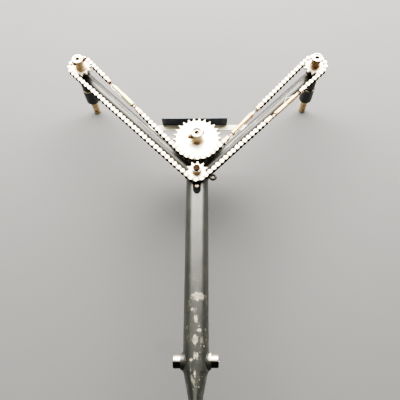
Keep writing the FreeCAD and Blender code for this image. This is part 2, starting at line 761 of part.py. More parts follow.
def fork(half_span):
    """A threaded rod with a fork whose two ears hold the end link of the chain."""
    inside = ROLLER_W / 2 + PLATE_T + EAR_GAP
    outside = inside + EAR_T
    root = half_span - FORK_LENGTH
    low, high = FORK_NECK_H / 2, FORK_H / 2
    ear = prism([(root, -low), (half_span, -high), (half_span, high), (root, low)], inside, outside)
    ear = ear.fuse(Part.makeCylinder(high, EAR_T, vec(half_span, 0, inside)))
    other = ear.mirror(vec(0, 0, 0), vec(0, 0, 1))
    base = box(root - FORK_BASE / 2, -low, -outside, root + FORK_BASE / 2, low, outside)
    shank = rod(ROD_D, vec(BARREL_LENGTH / 2 - ROD_ENTRY, 0, 0), vec(root, 0, 0))
    hole = Part.makeCylinder(CHAIN_PIN_D / 2, 4 * outside, vec(half_span, 0, -2 * outside))
    return base.fuse([ear, other, shank]).cut(hole).removeSplitter()


def fork_pin(half_span):
    """The clevis pin of a fork, headed at both ends."""
    outside = ROLLER_W / 2 + PLATE_T + EAR_GAP + EAR_T
    pin = Part.makeCylinder(CHAIN_PIN_D / 2, 2 * outside, vec(half_span, 0, -outside))
    top = Part.makeCylinder(FORK_PIN_HEAD_D / 2, FORK_PIN_HEAD_H, vec(half_span, 0, outside))
    foot = top.mirror(vec(0, 0, 0), vec(0, 0, 1))
    return pin.fuse([top, foot])


def turnbuckle(name):
    """The barrel, the two forks and the two pins of a turnbuckle, in their place on its run."""
    half = LAYOUT["span"] * PITCH / 2
    x, y, heading = along(LAYOUT["turnbuckles"][name] + LAYOUT["span"] / 2)
    both = [0.0, math.pi]
    forks = [place(fork(half), x, y, heading + turn) for turn in both]
    pins = [place(fork_pin(half), x, y, heading + turn) for turn in both]
    save(name + "_barrel", [place(barrel(), x, y, heading + (0.0 if GROOVED_ENDS[name] > 0 else math.pi))])
    save(name + "_forks", forks)
    save(name + "_pins", pins)


# Chain links

def plate_outline():
    """A link plate with rounded ends, as eight corners about its middle."""
    half = PITCH / 2
    radius = PLATE_H / 2
    lean = radius * 0.62
    reach = half + radius * 0.86
    quarter = [(reach, radius * 0.42), (half - lean * 0.2, radius)]
    upper = quarter + [(-x, y) for x, y in reversed(quarter)]
    return upper + [(-x, -y) for x, y in upper]


def link_plates(start, end, inner, drilled):
    """The two plates of a link between two pins. End links are drilled for the fork's pin."""
    x, y = (start[0] + end[0]) / 2, (start[1] + end[1]) / 2
    heading = math.atan2(end[1] - start[1], end[0] - start[0])
    low = ROLLER_W / 2 if inner else ROLLER_W / 2 + PLATE_T + PLATE_GAP
    plates = []
    for z in (low, -low - PLATE_T):
        plate = prism(plate_outline(), z, z + PLATE_T)
        for side in drilled:
            hole = prism(regular(6, CHAIN_PIN_D / 2 + 0.35, side * PITCH / 2, 0), z - 1, z + PLATE_T + 1)
            plate = plate.cut(hole)
        plates.append(place(plate, x, y, heading))
    return plates


def chain(name):
    """One length of roller chain: plates and rollers, inner links at both ends."""
    first, links = LAYOUT["chains"][name]
    pins = [along(first + k)[:2] for k in range(links + 1)]
    made = []
    for k in range(links):
        drilled = ([-1] if k == 0 else []) + ([1] if k == links - 1 else [])
        made += link_plates(pins[k], pins[k + 1], k % 2 == 0, drilled)
    half = ROLLER_W / 2
    for k, (x, y) in enumerate(pins):
        heading = along(first + k)[2]
        if 0 < k < links:
            outline = regular(ROLLER_SIDES, ROLLER_D / 2, x, y, heading)
            made.append(prism(outline, CHAIN_Z - half, CHAIN_Z + half))
    save(name, made)


# Everything, piece by piece

def build_frame():
    save("column_tube", [column()])
    for side in ("left", "right"):
        save(side + "_arm", [arm(side)])
        save(side + "_bearing_housing", [housing(side)])
        save(side + "_bushings", bushings(side, HOUSING_FOOT_Z))
    save("centre_bearing_housing", [centre_housing()])
    save("centre_bushings", bushings("centre", CENTRE_HOUSING_FOOT_Z))
    save("arm_gusset", [gusset()])
    save("cross_brace", [cross_brace()])
    save("upright_plate", [bracket_plate()])
    save("plate_bolts", plate_bolts())
    save("idler_bracket", [idler_bracket()])
    save("idler_bolt", [idler_bolt()])
    save("bracket_screw", [bracket_screw()])
    save("ring_lug", [ring_lug()])
    save("pivot_boss", [pivot_boss()])
    save("pivot_tube", [pivot_tube()])
    save("elevator_lever", [lever()])
    save("lever_bushing", [lever_bushing()])


def build_drives():
    feet = {"left": (BENCH_Z, HOUSING_FOOT_Z), "right": (BENCH_Z, HOUSING_FOOT_Z),
            "centre": (CENTRE_SHAFT_FOOT_Z, CENTRE_HOUSING_FOOT_Z)}
    for side, (shaft_foot, housing_foot) in feet.items():
        save(side + "_shaft", [shaft(side, shaft_foot)])
        save(side + "_sprocket", [sprocket_plate(side, SHAFT_D)])
        save(side + "_hub", [hub(side)])
        save(side + "_cross_bolt", [cross_bolt(side)])
        save(side + "_thrust_washer", [thrust_washer(side)])
        ring_top = housing_foot - BUSHING_FLANGE_T - FACE_CLEARANCE
        save(side + "_retaining_ring", [retaining_ring(side, ring_top)])
    save("idler_sprocket", [sprocket_plate("idler", IDLER_HUB_OD)])
    save("idler_hub", [idler_hub()])


def build_chain_loop():
    for name in LAYOUT["turnbuckles"]:
        turnbuckle(name)
    for name in LAYOUT["chains"]:
        chain(name)


os.makedirs("parts", exist_ok=True)
build_frame()
build_drives()
build_chain_loop()
print("loop", round(LOOP, 3), "turnbuckle span", round(LAYOUT["span"] * PITCH, 2))
print("chains", LAYOUT["chains"])
for name, start in LAYOUT["turnbuckles"].items():
    print(name, [round(v, 4) for v in along(start + LAYOUT["span"] / 2)])
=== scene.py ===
import json
import logging
import math
from dataclasses import dataclass, field, replace
from enum import Enum
from typing import Any, Callable, Sequence

import bmesh
import bpy
from mathutils import Matrix, Vector

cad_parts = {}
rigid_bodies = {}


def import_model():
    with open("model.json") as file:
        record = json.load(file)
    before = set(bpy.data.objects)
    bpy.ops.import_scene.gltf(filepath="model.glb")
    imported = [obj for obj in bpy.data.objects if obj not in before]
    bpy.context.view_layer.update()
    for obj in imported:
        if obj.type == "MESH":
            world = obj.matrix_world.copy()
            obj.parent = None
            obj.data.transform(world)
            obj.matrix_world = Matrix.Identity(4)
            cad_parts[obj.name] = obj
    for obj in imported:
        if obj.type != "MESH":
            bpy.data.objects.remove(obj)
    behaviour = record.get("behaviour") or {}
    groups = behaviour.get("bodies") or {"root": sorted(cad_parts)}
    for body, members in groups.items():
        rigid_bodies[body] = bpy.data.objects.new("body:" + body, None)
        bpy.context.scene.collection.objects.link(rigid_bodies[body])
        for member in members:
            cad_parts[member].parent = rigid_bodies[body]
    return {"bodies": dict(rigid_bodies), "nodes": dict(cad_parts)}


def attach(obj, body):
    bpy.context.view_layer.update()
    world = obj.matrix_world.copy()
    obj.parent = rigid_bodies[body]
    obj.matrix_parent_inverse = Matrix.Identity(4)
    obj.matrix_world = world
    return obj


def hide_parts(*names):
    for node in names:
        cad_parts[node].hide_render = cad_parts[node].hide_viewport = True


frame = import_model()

# Control column of a light aircraft, lying on its back. Metres.
# X runs across, Y runs up the column towards the wheel shafts, Z points up from the floor.

log = logging.getLogger("control_yoke")

Colour = tuple[float, float, float]
Point = tuple[float, float, float]
Profile = Sequence[tuple[float, float]]

MM = 0.001
PITCH = 12.7 * MM
CHAIN_Z = 36.0 * MM
FLOOR_Z = -152.0 * MM
SPROCKET_HALF = 2.85 * MM
CENTRE_Y = 486.8 * MM
IDLER_Y = 400.8 * MM
TIP_Y = 702.8 * MM
TIP_X = 297.0 * MM
COLUMN_R = 25.4 * MM
ARM_R = 15.875 * MM
UP = Vector((0, 0, 1))


def corner_radius(flats: float) -> float:
    """A hexagon's corner radius, from its size across the flats."""
    return flats / math.sqrt(3)


class Body(Enum):
    """The rigid bodies that pieces ride on."""

    COLUMN = "column"
    CENTRE = "centre_drive"
    LEFT = "left_drive"
    RIGHT = "right_drive"
    IDLER = "idler"
    PIVOT = "pivot"
    UPPER_LEFT = "upper_left_turnbuckle"
    UPPER_RIGHT = "upper_right_turnbuckle"
    LOWER_RIGHT = "lower_right_turnbuckle"


class Turn(Enum):
    """The way the chain goes round a sprocket, seen from above."""

    LEFT = 1
    RIGHT = -1


# Materials

class Value:
    """A socket of a material that takes part in arithmetic, each step of which adds a Math node."""

    def __init__(self, nodes: "NodeDesk", socket: bpy.types.NodeSocket) -> None:
        """Wrap a socket."""
        self.nodes = nodes
        self.socket = socket

    def _math(self, operation: str, first: Any, second: Any = None) -> "Value":
        """Add a Math node."""
        values = {0: first} if second is None else {0: first, 1: second}
        return self.nodes.add("ShaderNodeMath", {"operation": operation}, values)[0]

    def __add__(self, other: Any) -> "Value":
        """The sum."""
        return self._math("ADD", self, other)

    __radd__ = __add__

    def __mul__(self, other: Any) -> "Value":
        """The product."""
        return self._math("MULTIPLY", self, other)

    __rmul__ = __mul__

    def __sub__(self, other: Any) -> "Value":
        """The difference."""
        return self._math("SUBTRACT", self, other)

    def __rsub__(self, other: Any) -> "Value":
        """The difference, the other way round."""
        return self._math("SUBTRACT", other, self)

    def __truediv__(self, other: Any) -> "Value":
        """The quotient."""
        return self._math("DIVIDE", self, other)

    def __pow__(self, other: float) -> "Value":
        """The power."""
        return self._math("POWER", self, other)

    def both(self, other: Any) -> "Value":
        """The smaller of the two, which is where both masks hold."""
        return self._math("MINIMUM", self, other)

    def either(self, other: Any) -> "Value":
        """The larger of the two, which is where either mask holds."""
        return self._math("MAXIMUM", self, other)

    def root(self) -> "Value":
        """The square root."""
        return self._math("SQRT", self)

    def ramp(self, low: float, high: float) -> "Value":
        """A smooth rise from 0 at low to 1 at high, or a fall where high is the lower.

        Args:
            low: the value that gives 0.
            high: the value that gives 1.

        Returns:
            The mask.
        """
        values = {"Value": self, "From Min": min(low, high), "From Max": max(low, high)}
        rise = self.nodes.add("ShaderNodeMapRange", {"interpolation_type": "SMOOTHSTEP"}, values)[0]
        return rise if low < high else 1.0 - rise


Worn = tuple[Value, Value | None]


class NodeDesk:
    """Adds nodes to one material."""

    def __init__(self, material: bpy.types.Material) -> None:
        """Clear the material's tree and give it a shader and an output.

        Args:
            material: the material to fill.
        """
        material.use_nodes = True
        self.tree = material.node_tree
        self.tree.nodes.clear()
        self.shader = self.tree.nodes.new("ShaderNodeBsdfPrincipled")
        output = self.tree.nodes.new("ShaderNodeOutputMaterial")
        self.tree.links.new(self.shader.outputs[0], output.inputs[0])

    def put(self, node: bpy.types.Node, name: str | int, value: Any) -> None:
        """Set or link an input.

        Args:
            node: the node that has the input.
            name: the input's identifier, name or index.
            value: a number, a colour, a vector or a Value.
        """
        if isinstance(name, int):
            entry = node.inputs[name]
        else:
            found = [s for s in node.inputs if s.identifier == name]
            entry = (found or [s for s in node.inputs if s.name == name])[0]
        if isinstance(value, Value):
            self.tree.links.new(value.socket, entry)
        elif entry.type == "RGBA" and len(value) == 3:
            entry.default_value = (*value, 1.0)
        else:
            entry.default_value = value

    def add(self, kind: str, settings: dict[str, Any] | None = None,
            values: dict[str | int, Any] | None = None) -> list[Value]:
        """Add a node.

        Args:
            kind: the node's type.
            settings: its properties, which are set before its inputs.
            values: its inputs.

        Returns:
            Its outputs in order.
        """
        node = self.tree.nodes.new(kind)
        for name, value in (settings or {}).items():
            setattr(node, name, value)
        for name, value in (values or {}).items():
            self.put(node, name, value)
        return [Value(self, s) for s in node.outputs if s.enabled]

    def mix(self, factor: Value | float, first: Any, second: Any) -> Value:
        """Mix two colours.

        Args:
            factor: 0 for the first, 1 for the second.
            first: the first colour.
            second: the second colour.

        Returns:
            The mixed colour.
        """
        values = {"Factor_Float": factor, "A_Color": first, "B_Color": second}
        node = self.tree.nodes.new("ShaderNodeMix")
        node.data_type = "RGBA"
        for name, value in values.items():
            self.put(node, name, value)
        return Value(self, next(s for s in node.outputs if s.identifier == "Result_Color"))

    def noise(self, place: Value, scale: float, detail: float = 3.0,
              stretch: Point = (1.0, 1.0, 1.0)) -> Value:
        """A soft noise between about 0.3 and 0.7.

        Args:
            place: the coordinates.
            scale: features per metre.
            detail: the number of finer layers.
            stretch: how much faster it runs along X, Y and Z.

        Returns:
            The noise.
        """
        if stretch != (1.0, 1.0, 1.0):
            place = self.add("ShaderNodeMapping", None, {"Vector": place, "Scale": stretch})[0]
        return self.add("ShaderNodeTexNoise", None, {"Vector": place, "Scale": scale, "Detail": detail})[0]

    def spots(self, place: Value, scale: float) -> Value:
        """The distance to the nearest of many scattered points, in cells."""
        return self.add("ShaderNodeTexVoronoi", None, {"Vector": place, "Scale": scale})[0]

    def parts(self, place: Value) -> list[Value]:
        """The X, Y and Z of coordinates."""
        return self.add("ShaderNodeSeparateXYZ", None, {0: place})

    def from_axis(self, place: Value, centre: tuple[float, float]) -> tuple[Value, Value]:
        """How far a place lies from an upright axis.

        Args:
            place: the coordinates.
            centre: the axis's X and Y.

        Returns:
            The distance, and the part of it along Y.
        """
        x, y, _ = self.parts(place)
        dx, dy = x - centre[0], y - centre[1]
        return (dx * dx + dy * dy).root(), dy

    def bump(self, height: Value, distance: float, strength: float = 1.0) -> None:
        """Give the shader a bumped normal."""
        values = {"Height": height, "Distance": distance, "Strength": strength}
        self.put(self.shader, "Normal", self.add("ShaderNodeBump", None, values)[0])


@dataclass(frozen=True)
class Finish:
    """A surface whose tone drifts, with fine grain in its gloss and its relief."""

    name: str
    base: Colour
    shade: Colour
    metallic: float = 0.0
    roughness: float = 0.4
    spread: float = 0.2
    drift: float = 30.0
    grain: float = 1400.0
    relief: float = 0.00005
    coat: float = 0.0
    coat_roughness: float = 0.32
    specular: float = 0.5
    dirt: Colour = (0.05, 0.04, 0.03)
    dirt_share: float = 0.25

    def place(self, desk: NodeDesk) -> Value:
        """The coordinates that the pattern reads."""
        return desk.add("ShaderNodeTexCoord")[3]

    def dirt_mask(self, desk: NodeDesk, place: Value) -> Value:
        """Where dirt lies."""
        return desk.noise(place, self.drift * 2.7, 6.0).ramp(0.68 - 0.3 * self.dirt_share, 0.80)

    def wear(self, desk: NodeDesk, place: Value, colour: Value) -> Worn:
        """Chips and scratches. A plain finish has none."""
        return colour, None

    def build(self) -> bpy.types.Material:
        """Make the material.

        Returns:
            The finished material.
        """
        material = bpy.data.materials.new(self.name)
        desk = NodeDesk(material)
        place = self.place(desk)
        tone = desk.noise(place, self.drift, 4.0).ramp(0.35, 0.65)
        colour = desk.mix(tone, self.base, self.shade)
        grain = desk.noise(place, self.grain, 2.0)
        dirt = self.dirt_mask(desk, place)
        colour = desk.mix(dirt * 0.8, colour, self.dirt)
        colour, worn = self.wear(desk, place, colour)
        roughness = grain * self.spread + (self.roughness - self.spread / 2) + dirt * 0.15
        if worn is not None:
            roughness = roughness + worn * 0.12
        for name, value in (("Base Color", colour), ("Roughness", roughness), ("Metallic", self.metallic),
                            ("Coat Weight", self.coat), ("Coat Roughness", self.coat_roughness),
                            ("Specular IOR Level", self.specular)):
            desk.put(desk.shader, name, value)
        height = grain if worn is None else grain - worn * 2.0
        desk.bump(height, self.relief)
        return material


@dataclass(frozen=True)
class Enamel(Finish):
    """Old enamel on steel tube, chipped down to pale primer and bare metal."""

    chip: Colour = (0.62, 0.57, 0.44)
    bare: Colour = (0.42, 0.40, 0.36)
    chips: float = 0.5
    scratches: float = 0.5
    along: Point = (1.0, 0.16, 1.0)

    def primer(self, desk: NodeDesk, place: Value) -> Value:
        """What shows where the paint is gone: pale primer and bare metal."""
        return desk.mix(desk.noise(place, 120.0, 3.0).ramp(0.4, 0.6), self.chip, self.bare)

    def wear(self, desk: NodeDesk, place: Value, colour: Value) -> Worn:
        """Chips with ragged edges, a dust of small ones, and long scratches.

        Args:
            desk: the material's nodes.
            place: the coordinates.
            colour: the colour so far.

        Returns:
            The colour with the wear, and the mask of the wear.
        """
        ragged = desk.noise(place, 260.0, 5.0)
        zone = desk.noise(place, 22.0, 2.0).ramp(0.44, 0.62)
        wide, fine = 0.10 * self.chips, 0.09 * self.chips
        large = (desk.spots(place, 95.0) + ragged * 0.5).ramp(0.30 + wide, 0.24 + wide)
        small = (desk.spots(place, 330.0) + ragged * 0.4).ramp(0.26 + fine, 0.22 + fine)
        chipped = large.both(zone).either(small.both(desk.noise(place, 48.0, 3.0).ramp(0.50, 0.60)) * 0.8)
        thin = desk.noise(place, 620.0, 3.0, self.along).ramp(0.66, 0.70)
        scratched = thin.both(desk.noise(place, 30.0, 2.0).ramp(0.50, 0.60)) * self.scratches
        worn = chipped.either(scratched)
        return desk.mix(worn, colour, self.primer(desk, place)), worn


@dataclass(frozen=True)
class ColumnEnamel(Enamel):
    """The column's enamel, chipped most near the pivot tube. A patch is an X, a Y and two half sizes."""

    patches: tuple[tuple[float, float, float, float], ...] = (
        (0.0035, 0.1220, 0.0125, 0.0080), (0.0000, 0.0780, 0.0040, 0.0070),
        (-0.0010, 0.0380, 0.0042, 0.0085), (-0.0015, 0.0078, 0.0019, 0.0062),
        (0.0034, 0.0078, 0.0022, 0.0066), (-0.0010, -0.0241, 0.0018, 0.0060),
        (-0.0086, 0.0008, 0.0030, 0.0026), (0.0075, 0.0560, 0.0045, 0.0035),
        (-0.0070, 0.0960, 0.0030, 0.0032))

    def wear(self, desk: NodeDesk, place: Value, colour: Value) -> Worn:
        """Wear that fades up the column.

        Args:
            desk: the material's nodes.
            place: the coordinates.
            colour: the colour so far.

        Returns:
            The colour with the wear, and the mask of the wear.
        """
        _, worn = super().wear(desk, place, colour)
        across, up, height = desk.parts(place)
        share = up.ramp(0.26, 0.10) * 0.9 + 0.1
        scuff = desk.noise(place, 75.0, 5.0, (1.0, 0.45, 1.0)).ramp(0.60, 0.64)
        scuff = scuff.both(up.ramp(0.16, 0.06)).both(up.ramp(-0.08, -0.02)) * 0.85
        ragged = (desk.noise(place, 300.0, 5.0) - 0.5) * 3.0
        specks = (desk.spots(place, 230.0) + ragged * 0.12).ramp(0.24, 0.17)
        specks = specks.both(desk.noise(place, 40.0, 3.0).ramp(0.50, 0.60)).both(up.ramp(0.20, 0.08)) * 0.55
        mask = (worn * share * 0.8).either(scuff * 0.35).either(specks)
        for x, y, half_x, half_y in self.patches:
            dx, dy = (across - x) / half_x, (up - y) / half_y
            patch = (dx * dx + dy * dy + ragged * 1.4).ramp(1.25, 0.75).both(height.ramp(0.0, 0.006))
            mask = mask.either(patch * 0.62)
        return desk.mix(mask, colour, self.primer(desk, place)), mask


@dataclass(frozen=True)
class BossEnamel(Enamel):
    """The pivot boss's enamel, rubbed to pale primer beyond a place along X; keeping it to the +Y half is
    painted light.
    """

    bare_from: float = 0.0255
    # pale primer of the rubbed end; kept to the +Y half, it is partly painted light
    rubbed: Colour = (0.80, 0.77, 0.68)

    def wear(self, desk: NodeDesk, place: Value, colour: Value) -> Worn:
        """Chips, and a bare right-hand end on the +Y half, where it is partly painted light.

        Args:
            desk: the material's nodes.
            place: the coordinates.
            colour: the colour so far.

        Returns:
            The colour with the wear and the painted light, and the mask of the wear.
        """
        pale, worn = super().wear(desk, place, colour)
        across, up, _ = desk.parts(place)
        bare = (across + desk.noise(place, 300.0, 4.0) * 0.001).ramp(self.bare_from, self.bare_from + 0.0008)
        # Keeping the pale end to the +Y half, which faces the lamps, is painted light.
        bare = bare.both((up + desk.noise(place, 200.0, 4.0) * 0.003).ramp(0.0005, 0.003))
        return desk.mix(bare * 0.9, pale, self.rubbed), worn.either(bare)


@dataclass(frozen=True)
class Plated(Finish):
    """Plate worn bright on top, with tan film near the middle and the edge of a sprocket, and a painted
    shadow of the hub.
    """

    centre: tuple[float, float] = (0.0, 0.0)
    hub: float = 0.016
    rim: float = 0.050
    film: Colour = (0.60, 0.48, 0.30)
    # colour of the painted shadow that the hub casts on the plate
    hub_shadow: Colour = (0.30, 0.20, 0.10)

    def wear(self, desk: NodeDesk, place: Value, colour: Value) -> Worn:
        """A film of tan round the hub and on the teeth, and a painted shadow of the hub on the plate below
        it.

        Args:
            desk: the material's nodes.
            place: the coordinates.
            colour: the colour so far.

        Returns:
            The colour with the film and the painted shadow, and no mask.
        """
        radius, dy = desk.from_axis(place, self.centre)
        cloud = desk.noise(place, 70.0, 4.0)
        near = (radius + cloud * 0.010).ramp(self.hub + 0.0125, self.hub + 0.003)
        far = (radius + cloud * 0.008).ramp(self.rim - 0.001, self.rim + 0.006)
        colour = desk.mix(near.either(far) * 0.6, colour, self.film)
        # Painted shadow of the hub on the plate, towards -Y.
        hub_shadow_mask = (radius + cloud * 0.006).ramp(self.hub + 0.0075, self.hub + 0.003).both(dy.ramp(0.0, -0.008))
        return desk.mix(hub_shadow_mask * 0.8, colour, self.hub_shadow), None


@dataclass(frozen=True)
class Brushed(Finish):
    """Drawn or turned metal with fine lines along one way."""

    lines: Point = (1.0, 1.0, 0.06)

    def wear(self, desk: NodeDesk, place: Value, colour: Value) -> Worn:
        """Fine drawn lines in the tone."""
        lines = desk.noise(place, 900.0, 2.0, self.lines).ramp(0.45, 0.75)
        return desk.mix(lines * 0.35, colour, self.dirt), None


@dataclass(frozen=True)
class TurnedPost(Brushed):
    """A hub or a shaft, with a painted highlight on its top face and painted shade round its axis."""

    centre: tuple[float, float] = (0.0, 0.0)
    top: float = 1.0
    inside: float = 0.010
    # painted highlight: the pale colour of the top face, where it catches the lamp
    bright: Colour = (0.95, 0.93, 0.87)
    # painted shade round the axis: the hub's bore and the sunk shaft end
    painted_shade: Colour = (0.16, 0.09, 0.04)

    def wear(self, desk: NodeDesk, place: Value, colour: Value) -> Worn:
        """Lines, the painted highlight on the top and the painted shade round the axis.

        Args:
            desk: the material's nodes.
            place: the coordinates.
            colour: the colour so far.

        Returns:
            The colour with the lines, the painted highlight and the painted shade, and no mask.
        """
        colour, _ = super().wear(desk, place, colour)
        radius, _ = desk.from_axis(place, self.centre)
        height = desk.parts(place)[2]
        # Painted highlight on the top face.
        colour = desk.mix(height.ramp(self.top - 0.0014, self.top - 0.0006) * 0.92, colour, self.bright)
        # Painted shade round the axis.
        return desk.mix(radius.ramp(self.inside + 0.0003, self.inside) * 0.9, colour, self.painted_shade), None


@dataclass(frozen=True)
class BandedEnamel(Enamel):
    """The wheel housings' enamel, rubbed to tan on the rim between the tube and the sleeve."""

    band: tuple[float, float] = (-0.0472, -0.0438)
    tan: Colour = (0.60, 0.49, 0.33)

    def wear(self, desk: NodeDesk, place: Value, colour: Value) -> Worn:
        """Chips and the tan band.

        Args:
            desk: the material's nodes.
            place: the coordinates.
            colour: the colour so far.

        Returns:
            The colour with the wear, and the mask of the wear.
        """
        pale, worn = super().wear(desk, place, colour)
        z = desk.parts(place)[2] + desk.noise(place, 160.0, 4.0) * 0.0012 - 0.0006
        low, high = self.band
        rubbed = z.ramp(low - 0.0003, low + 0.0003).both(z.ramp(high + 0.0003, high - 0.0003))
        rubbed = rubbed.both(desk.noise(place, 90.0, 4.0).ramp(0.36, 0.48))
        return desk.mix(rubbed * 0.85, pale, self.tan), worn.either(rubbed)


@dataclass(frozen=True)
class LinkSteel(Finish):
    """Chain steel whose pattern travels with the links."""

    # colour of the painted shade in the waist of each plate
    waist_shade: Colour = (0.10, 0.075, 0.05)

    def place(self, desk: NodeDesk) -> Value:
        """The place on the link, moved on by its number.

        Args:
            desk: the material's nodes.

        Returns:
            The coordinates.
        """
        own = desk.add("ShaderNodeAttribute", {"attribute_name": "place"})[1]
        moved = desk.add("ShaderNodeAttribute", {"attribute_name": "shift"})[1]
        return desk.add("ShaderNodeVectorMath", {"operation": "ADD"}, {0: own, 1: moved})[0]

    def wear(self, desk: NodeDesk, place: Value, colour: Value) -> Worn:
        """Painted shade in the waist of each plate.

        Args:
            desk: the material's nodes.
            place: the coordinates, which are not used.
            colour: the colour so far.

        Returns:
            The colour with the painted shade, and no mask.
        """
        own = desk.add("ShaderNodeAttribute", {"attribute_name": "place"})[1]
        x = desk.parts(own)[0]
        # Painted shade in the waist, between the bright round ends.
        waist = x.either(0.0 - x).ramp(0.0030, 0.0008)
        return desk.mix(waist * 0.8, colour, self.waist_shade), None


@dataclass(frozen=True)
class ForkMetal(Finish):
    """A turnbuckle's forks and rods, stained with rust in rings along its run."""

    middle: tuple[float, float] = (0.0, 0.0)
    heading: float = 0.0
    rings: tuple[tuple[float, float], ...] = (
        (0.0390, 0.0406), (0.0455, 0.0500), (0.0512, 0.0534), (0.0600, 0.0625), (0.0700, 0.0725))
    rust: Colour = (0.11, 0.042, 0.020)

    def wear(self, desk: NodeDesk, place: Value, colour: Value) -> Worn:
        """The rings of rust.

        Args:
            desk: the material's nodes.
            place: the coordinates.
            colour: the colour so far.

        Returns:
            The colour with the rust, and no mask.
        """
        x, y, _ = desk.parts(place)
        along = (x - self.middle[0]) * math.cos(self.heading) + (y - self.middle[1]) * math.sin(self.heading)
        along = along.either(0.0 - along) + (desk.noise(place, 240.0, 3.0) - 0.5) * 0.004
        for low, high in self.rings:
            ring = along.ramp(low - 0.0006, low + 0.0006).both(along.ramp(high + 0.0006, high - 0.0006))
            colour = desk.mix(ring * 0.9, colour, self.rust)
        return colour, None


@dataclass(frozen=True)
class ShadedSideTube(Brushed):
    """The pivot tube's steel: bright above, with painted shade on the side away from the wheels."""

    # painted shade: near black for the half of the tube away from the wheels
    painted_shade: Colour = (0.012, 0.010, 0.009)
    stain: Colour = (0.62, 0.42, 0.20)

    def wear(self, desk: NodeDesk, place: Value, colour: Value) -> Worn:
        """Lines, a tan stain towards the wheels and painted shade on the side away from them.

        Args:
            desk: the material's nodes.
            place: the coordinates.
            colour: the colour so far.

        Returns:
            The colour with the stain and the painted shade, and no mask.
        """
        colour, _ = super().wear(desk, place, colour)
        up = desk.parts(place)[1] + (desk.noise(place, 180.0, 4.0) - 0.5) * 0.002
        colour = desk.mix(up.ramp(0.0086, 0.0104) * 0.7, colour, self.stain)
        # Painted shade: the half of the tube towards -Y is made near black.
        return desk.mix(up.ramp(0.0002, -0.0028) * 0.96, colour, self.painted_shade), None


ENAMEL = Enamel("enamel", (0.018, 0.021, 0.018), (0.028, 0.031, 0.026), roughness=0.42, spread=0.16,
                coat=0.5, specular=1.0, chips=0.25, scratches=0.25, dirt=(0.06, 0.055, 0.045), relief=0.00004)
COLUMN_PAINT = ColumnEnamel("column_enamel", (0.013, 0.016, 0.014), (0.024, 0.027, 0.022), roughness=0.42,
                            spread=0.18, coat=0.5, specular=1.0, chips=0.75, scratches=0.7,
                            chip=(0.52, 0.47, 0.35), bare=(0.30, 0.29, 0.25),
                            dirt=(0.05, 0.046, 0.036), dirt_share=0.2, relief=0.00005)
BOSS_PAINT = BossEnamel("boss_enamel", (0.024, 0.027, 0.024), (0.042, 0.045, 0.039), roughness=0.46,
                        spread=0.18, coat=0.3, specular=0.9, chips=0.8, scratches=0.6,
                        dirt=(0.15, 0.14, 0.11))
SLEEVE_PAINT = BandedEnamel("sleeve_enamel", (0.034, 0.036, 0.037), (0.060, 0.056, 0.050), roughness=0.46,
                            spread=0.2, chips=0.5, scratches=0.5, dirt=(0.14, 0.11, 0.08))
CREAM = Enamel("cream_primer", (0.86, 0.84, 0.73), (0.76, 0.72, 0.60), roughness=0.5, chip=(0.30, 0.28, 0.24),
               chips=0.3, scratches=0.4, dirt=(0.30, 0.27, 0.20))
SLATE = Enamel("slate_paint", (0.080, 0.100, 0.145), (0.095, 0.115, 0.155), roughness=0.5,
               chip=(0.16, 0.16, 0.17), chips=0.2, scratches=0.3, dirt=(0.06, 0.06, 0.06))
STRAP_PAINT = Enamel("strap_paint", (0.005, 0.006, 0.008), (0.009, 0.010, 0.012), roughness=0.7,
                     specular=0.08, chip=(0.12, 0.12, 0.12), chips=0.2, scratches=0.3,
                     dirt=(0.03, 0.03, 0.03))
BRIGHT = Brushed("bright_steel", (0.90, 0.89, 0.86), (0.76, 0.73, 0.66), metallic=0.9, roughness=0.30,
                 drift=60.0, lines=(0.06, 1.0, 1.0), dirt=(0.20, 0.17, 0.12))
DARK_BOLT = Finish("dark_bolt", (0.010, 0.007, 0.005), (0.075, 0.034, 0.010), roughness=0.55, specular=0.1,
                   drift=220.0, dirt=(0.02, 0.015, 0.010), dirt_share=0.5)
PALE_BOLT = Finish("pale_bolt", (0.86, 0.80, 0.66), (0.52, 0.30, 0.12), metallic=0.5, roughness=0.38,
                   drift=200.0, dirt=(0.14, 0.08, 0.04), dirt_share=0.3)
ZINC = Finish("zinc_washer", (0.92, 0.91, 0.86), (0.82, 0.79, 0.70), metallic=0.5, roughness=0.36,
              drift=160.0, dirt=(0.40, 0.32, 0.20), dirt_share=0.2)
BARREL_CREAM = Brushed("barrel_cream", (0.86, 0.84, 0.52), (0.66, 0.66, 0.34), metallic=0.6, roughness=0.34,
                       drift=90.0, dirt=(0.24, 0.22, 0.11), dirt_share=0.4, lines=(0.3, 0.3, 1.0))
BARREL_BRASS = Brushed("barrel_brass", (0.88, 0.68, 0.40), (0.66, 0.43, 0.20), metallic=0.75, roughness=0.34,
                       drift=90.0, dirt=(0.26, 0.16, 0.08), dirt_share=0.4, lines=(0.3, 0.3, 1.0))
PIVOT_STEEL = ShadedSideTube("pivot_steel", (0.92, 0.90, 0.84), (0.78, 0.72, 0.60), metallic=0.85, roughness=0.32,
                         drift=60.0, lines=(0.06, 1.0, 1.0), dirt=(0.20, 0.17, 0.12))
RING_STEEL = Finish("ring_steel", (0.030, 0.028, 0.024), (0.085, 0.075, 0.060), metallic=0.4, roughness=0.42,
                    specular=0.3, drift=130.0, dirt=(0.02, 0.018, 0.015), dirt_share=0.4)
RUSTY_BOLT = Finish("rusty_bolt", (0.66, 0.42, 0.20), (0.10, 0.05, 0.025), metallic=0.6, roughness=0.36,
                    drift=150.0, dirt=(0.04, 0.022, 0.012), dirt_share=0.5)
BRONZE = Finish("bronze_bush", (0.52, 0.35, 0.18), (0.38, 0.25, 0.13), metallic=0.8, roughness=0.45,
                drift=180.0)
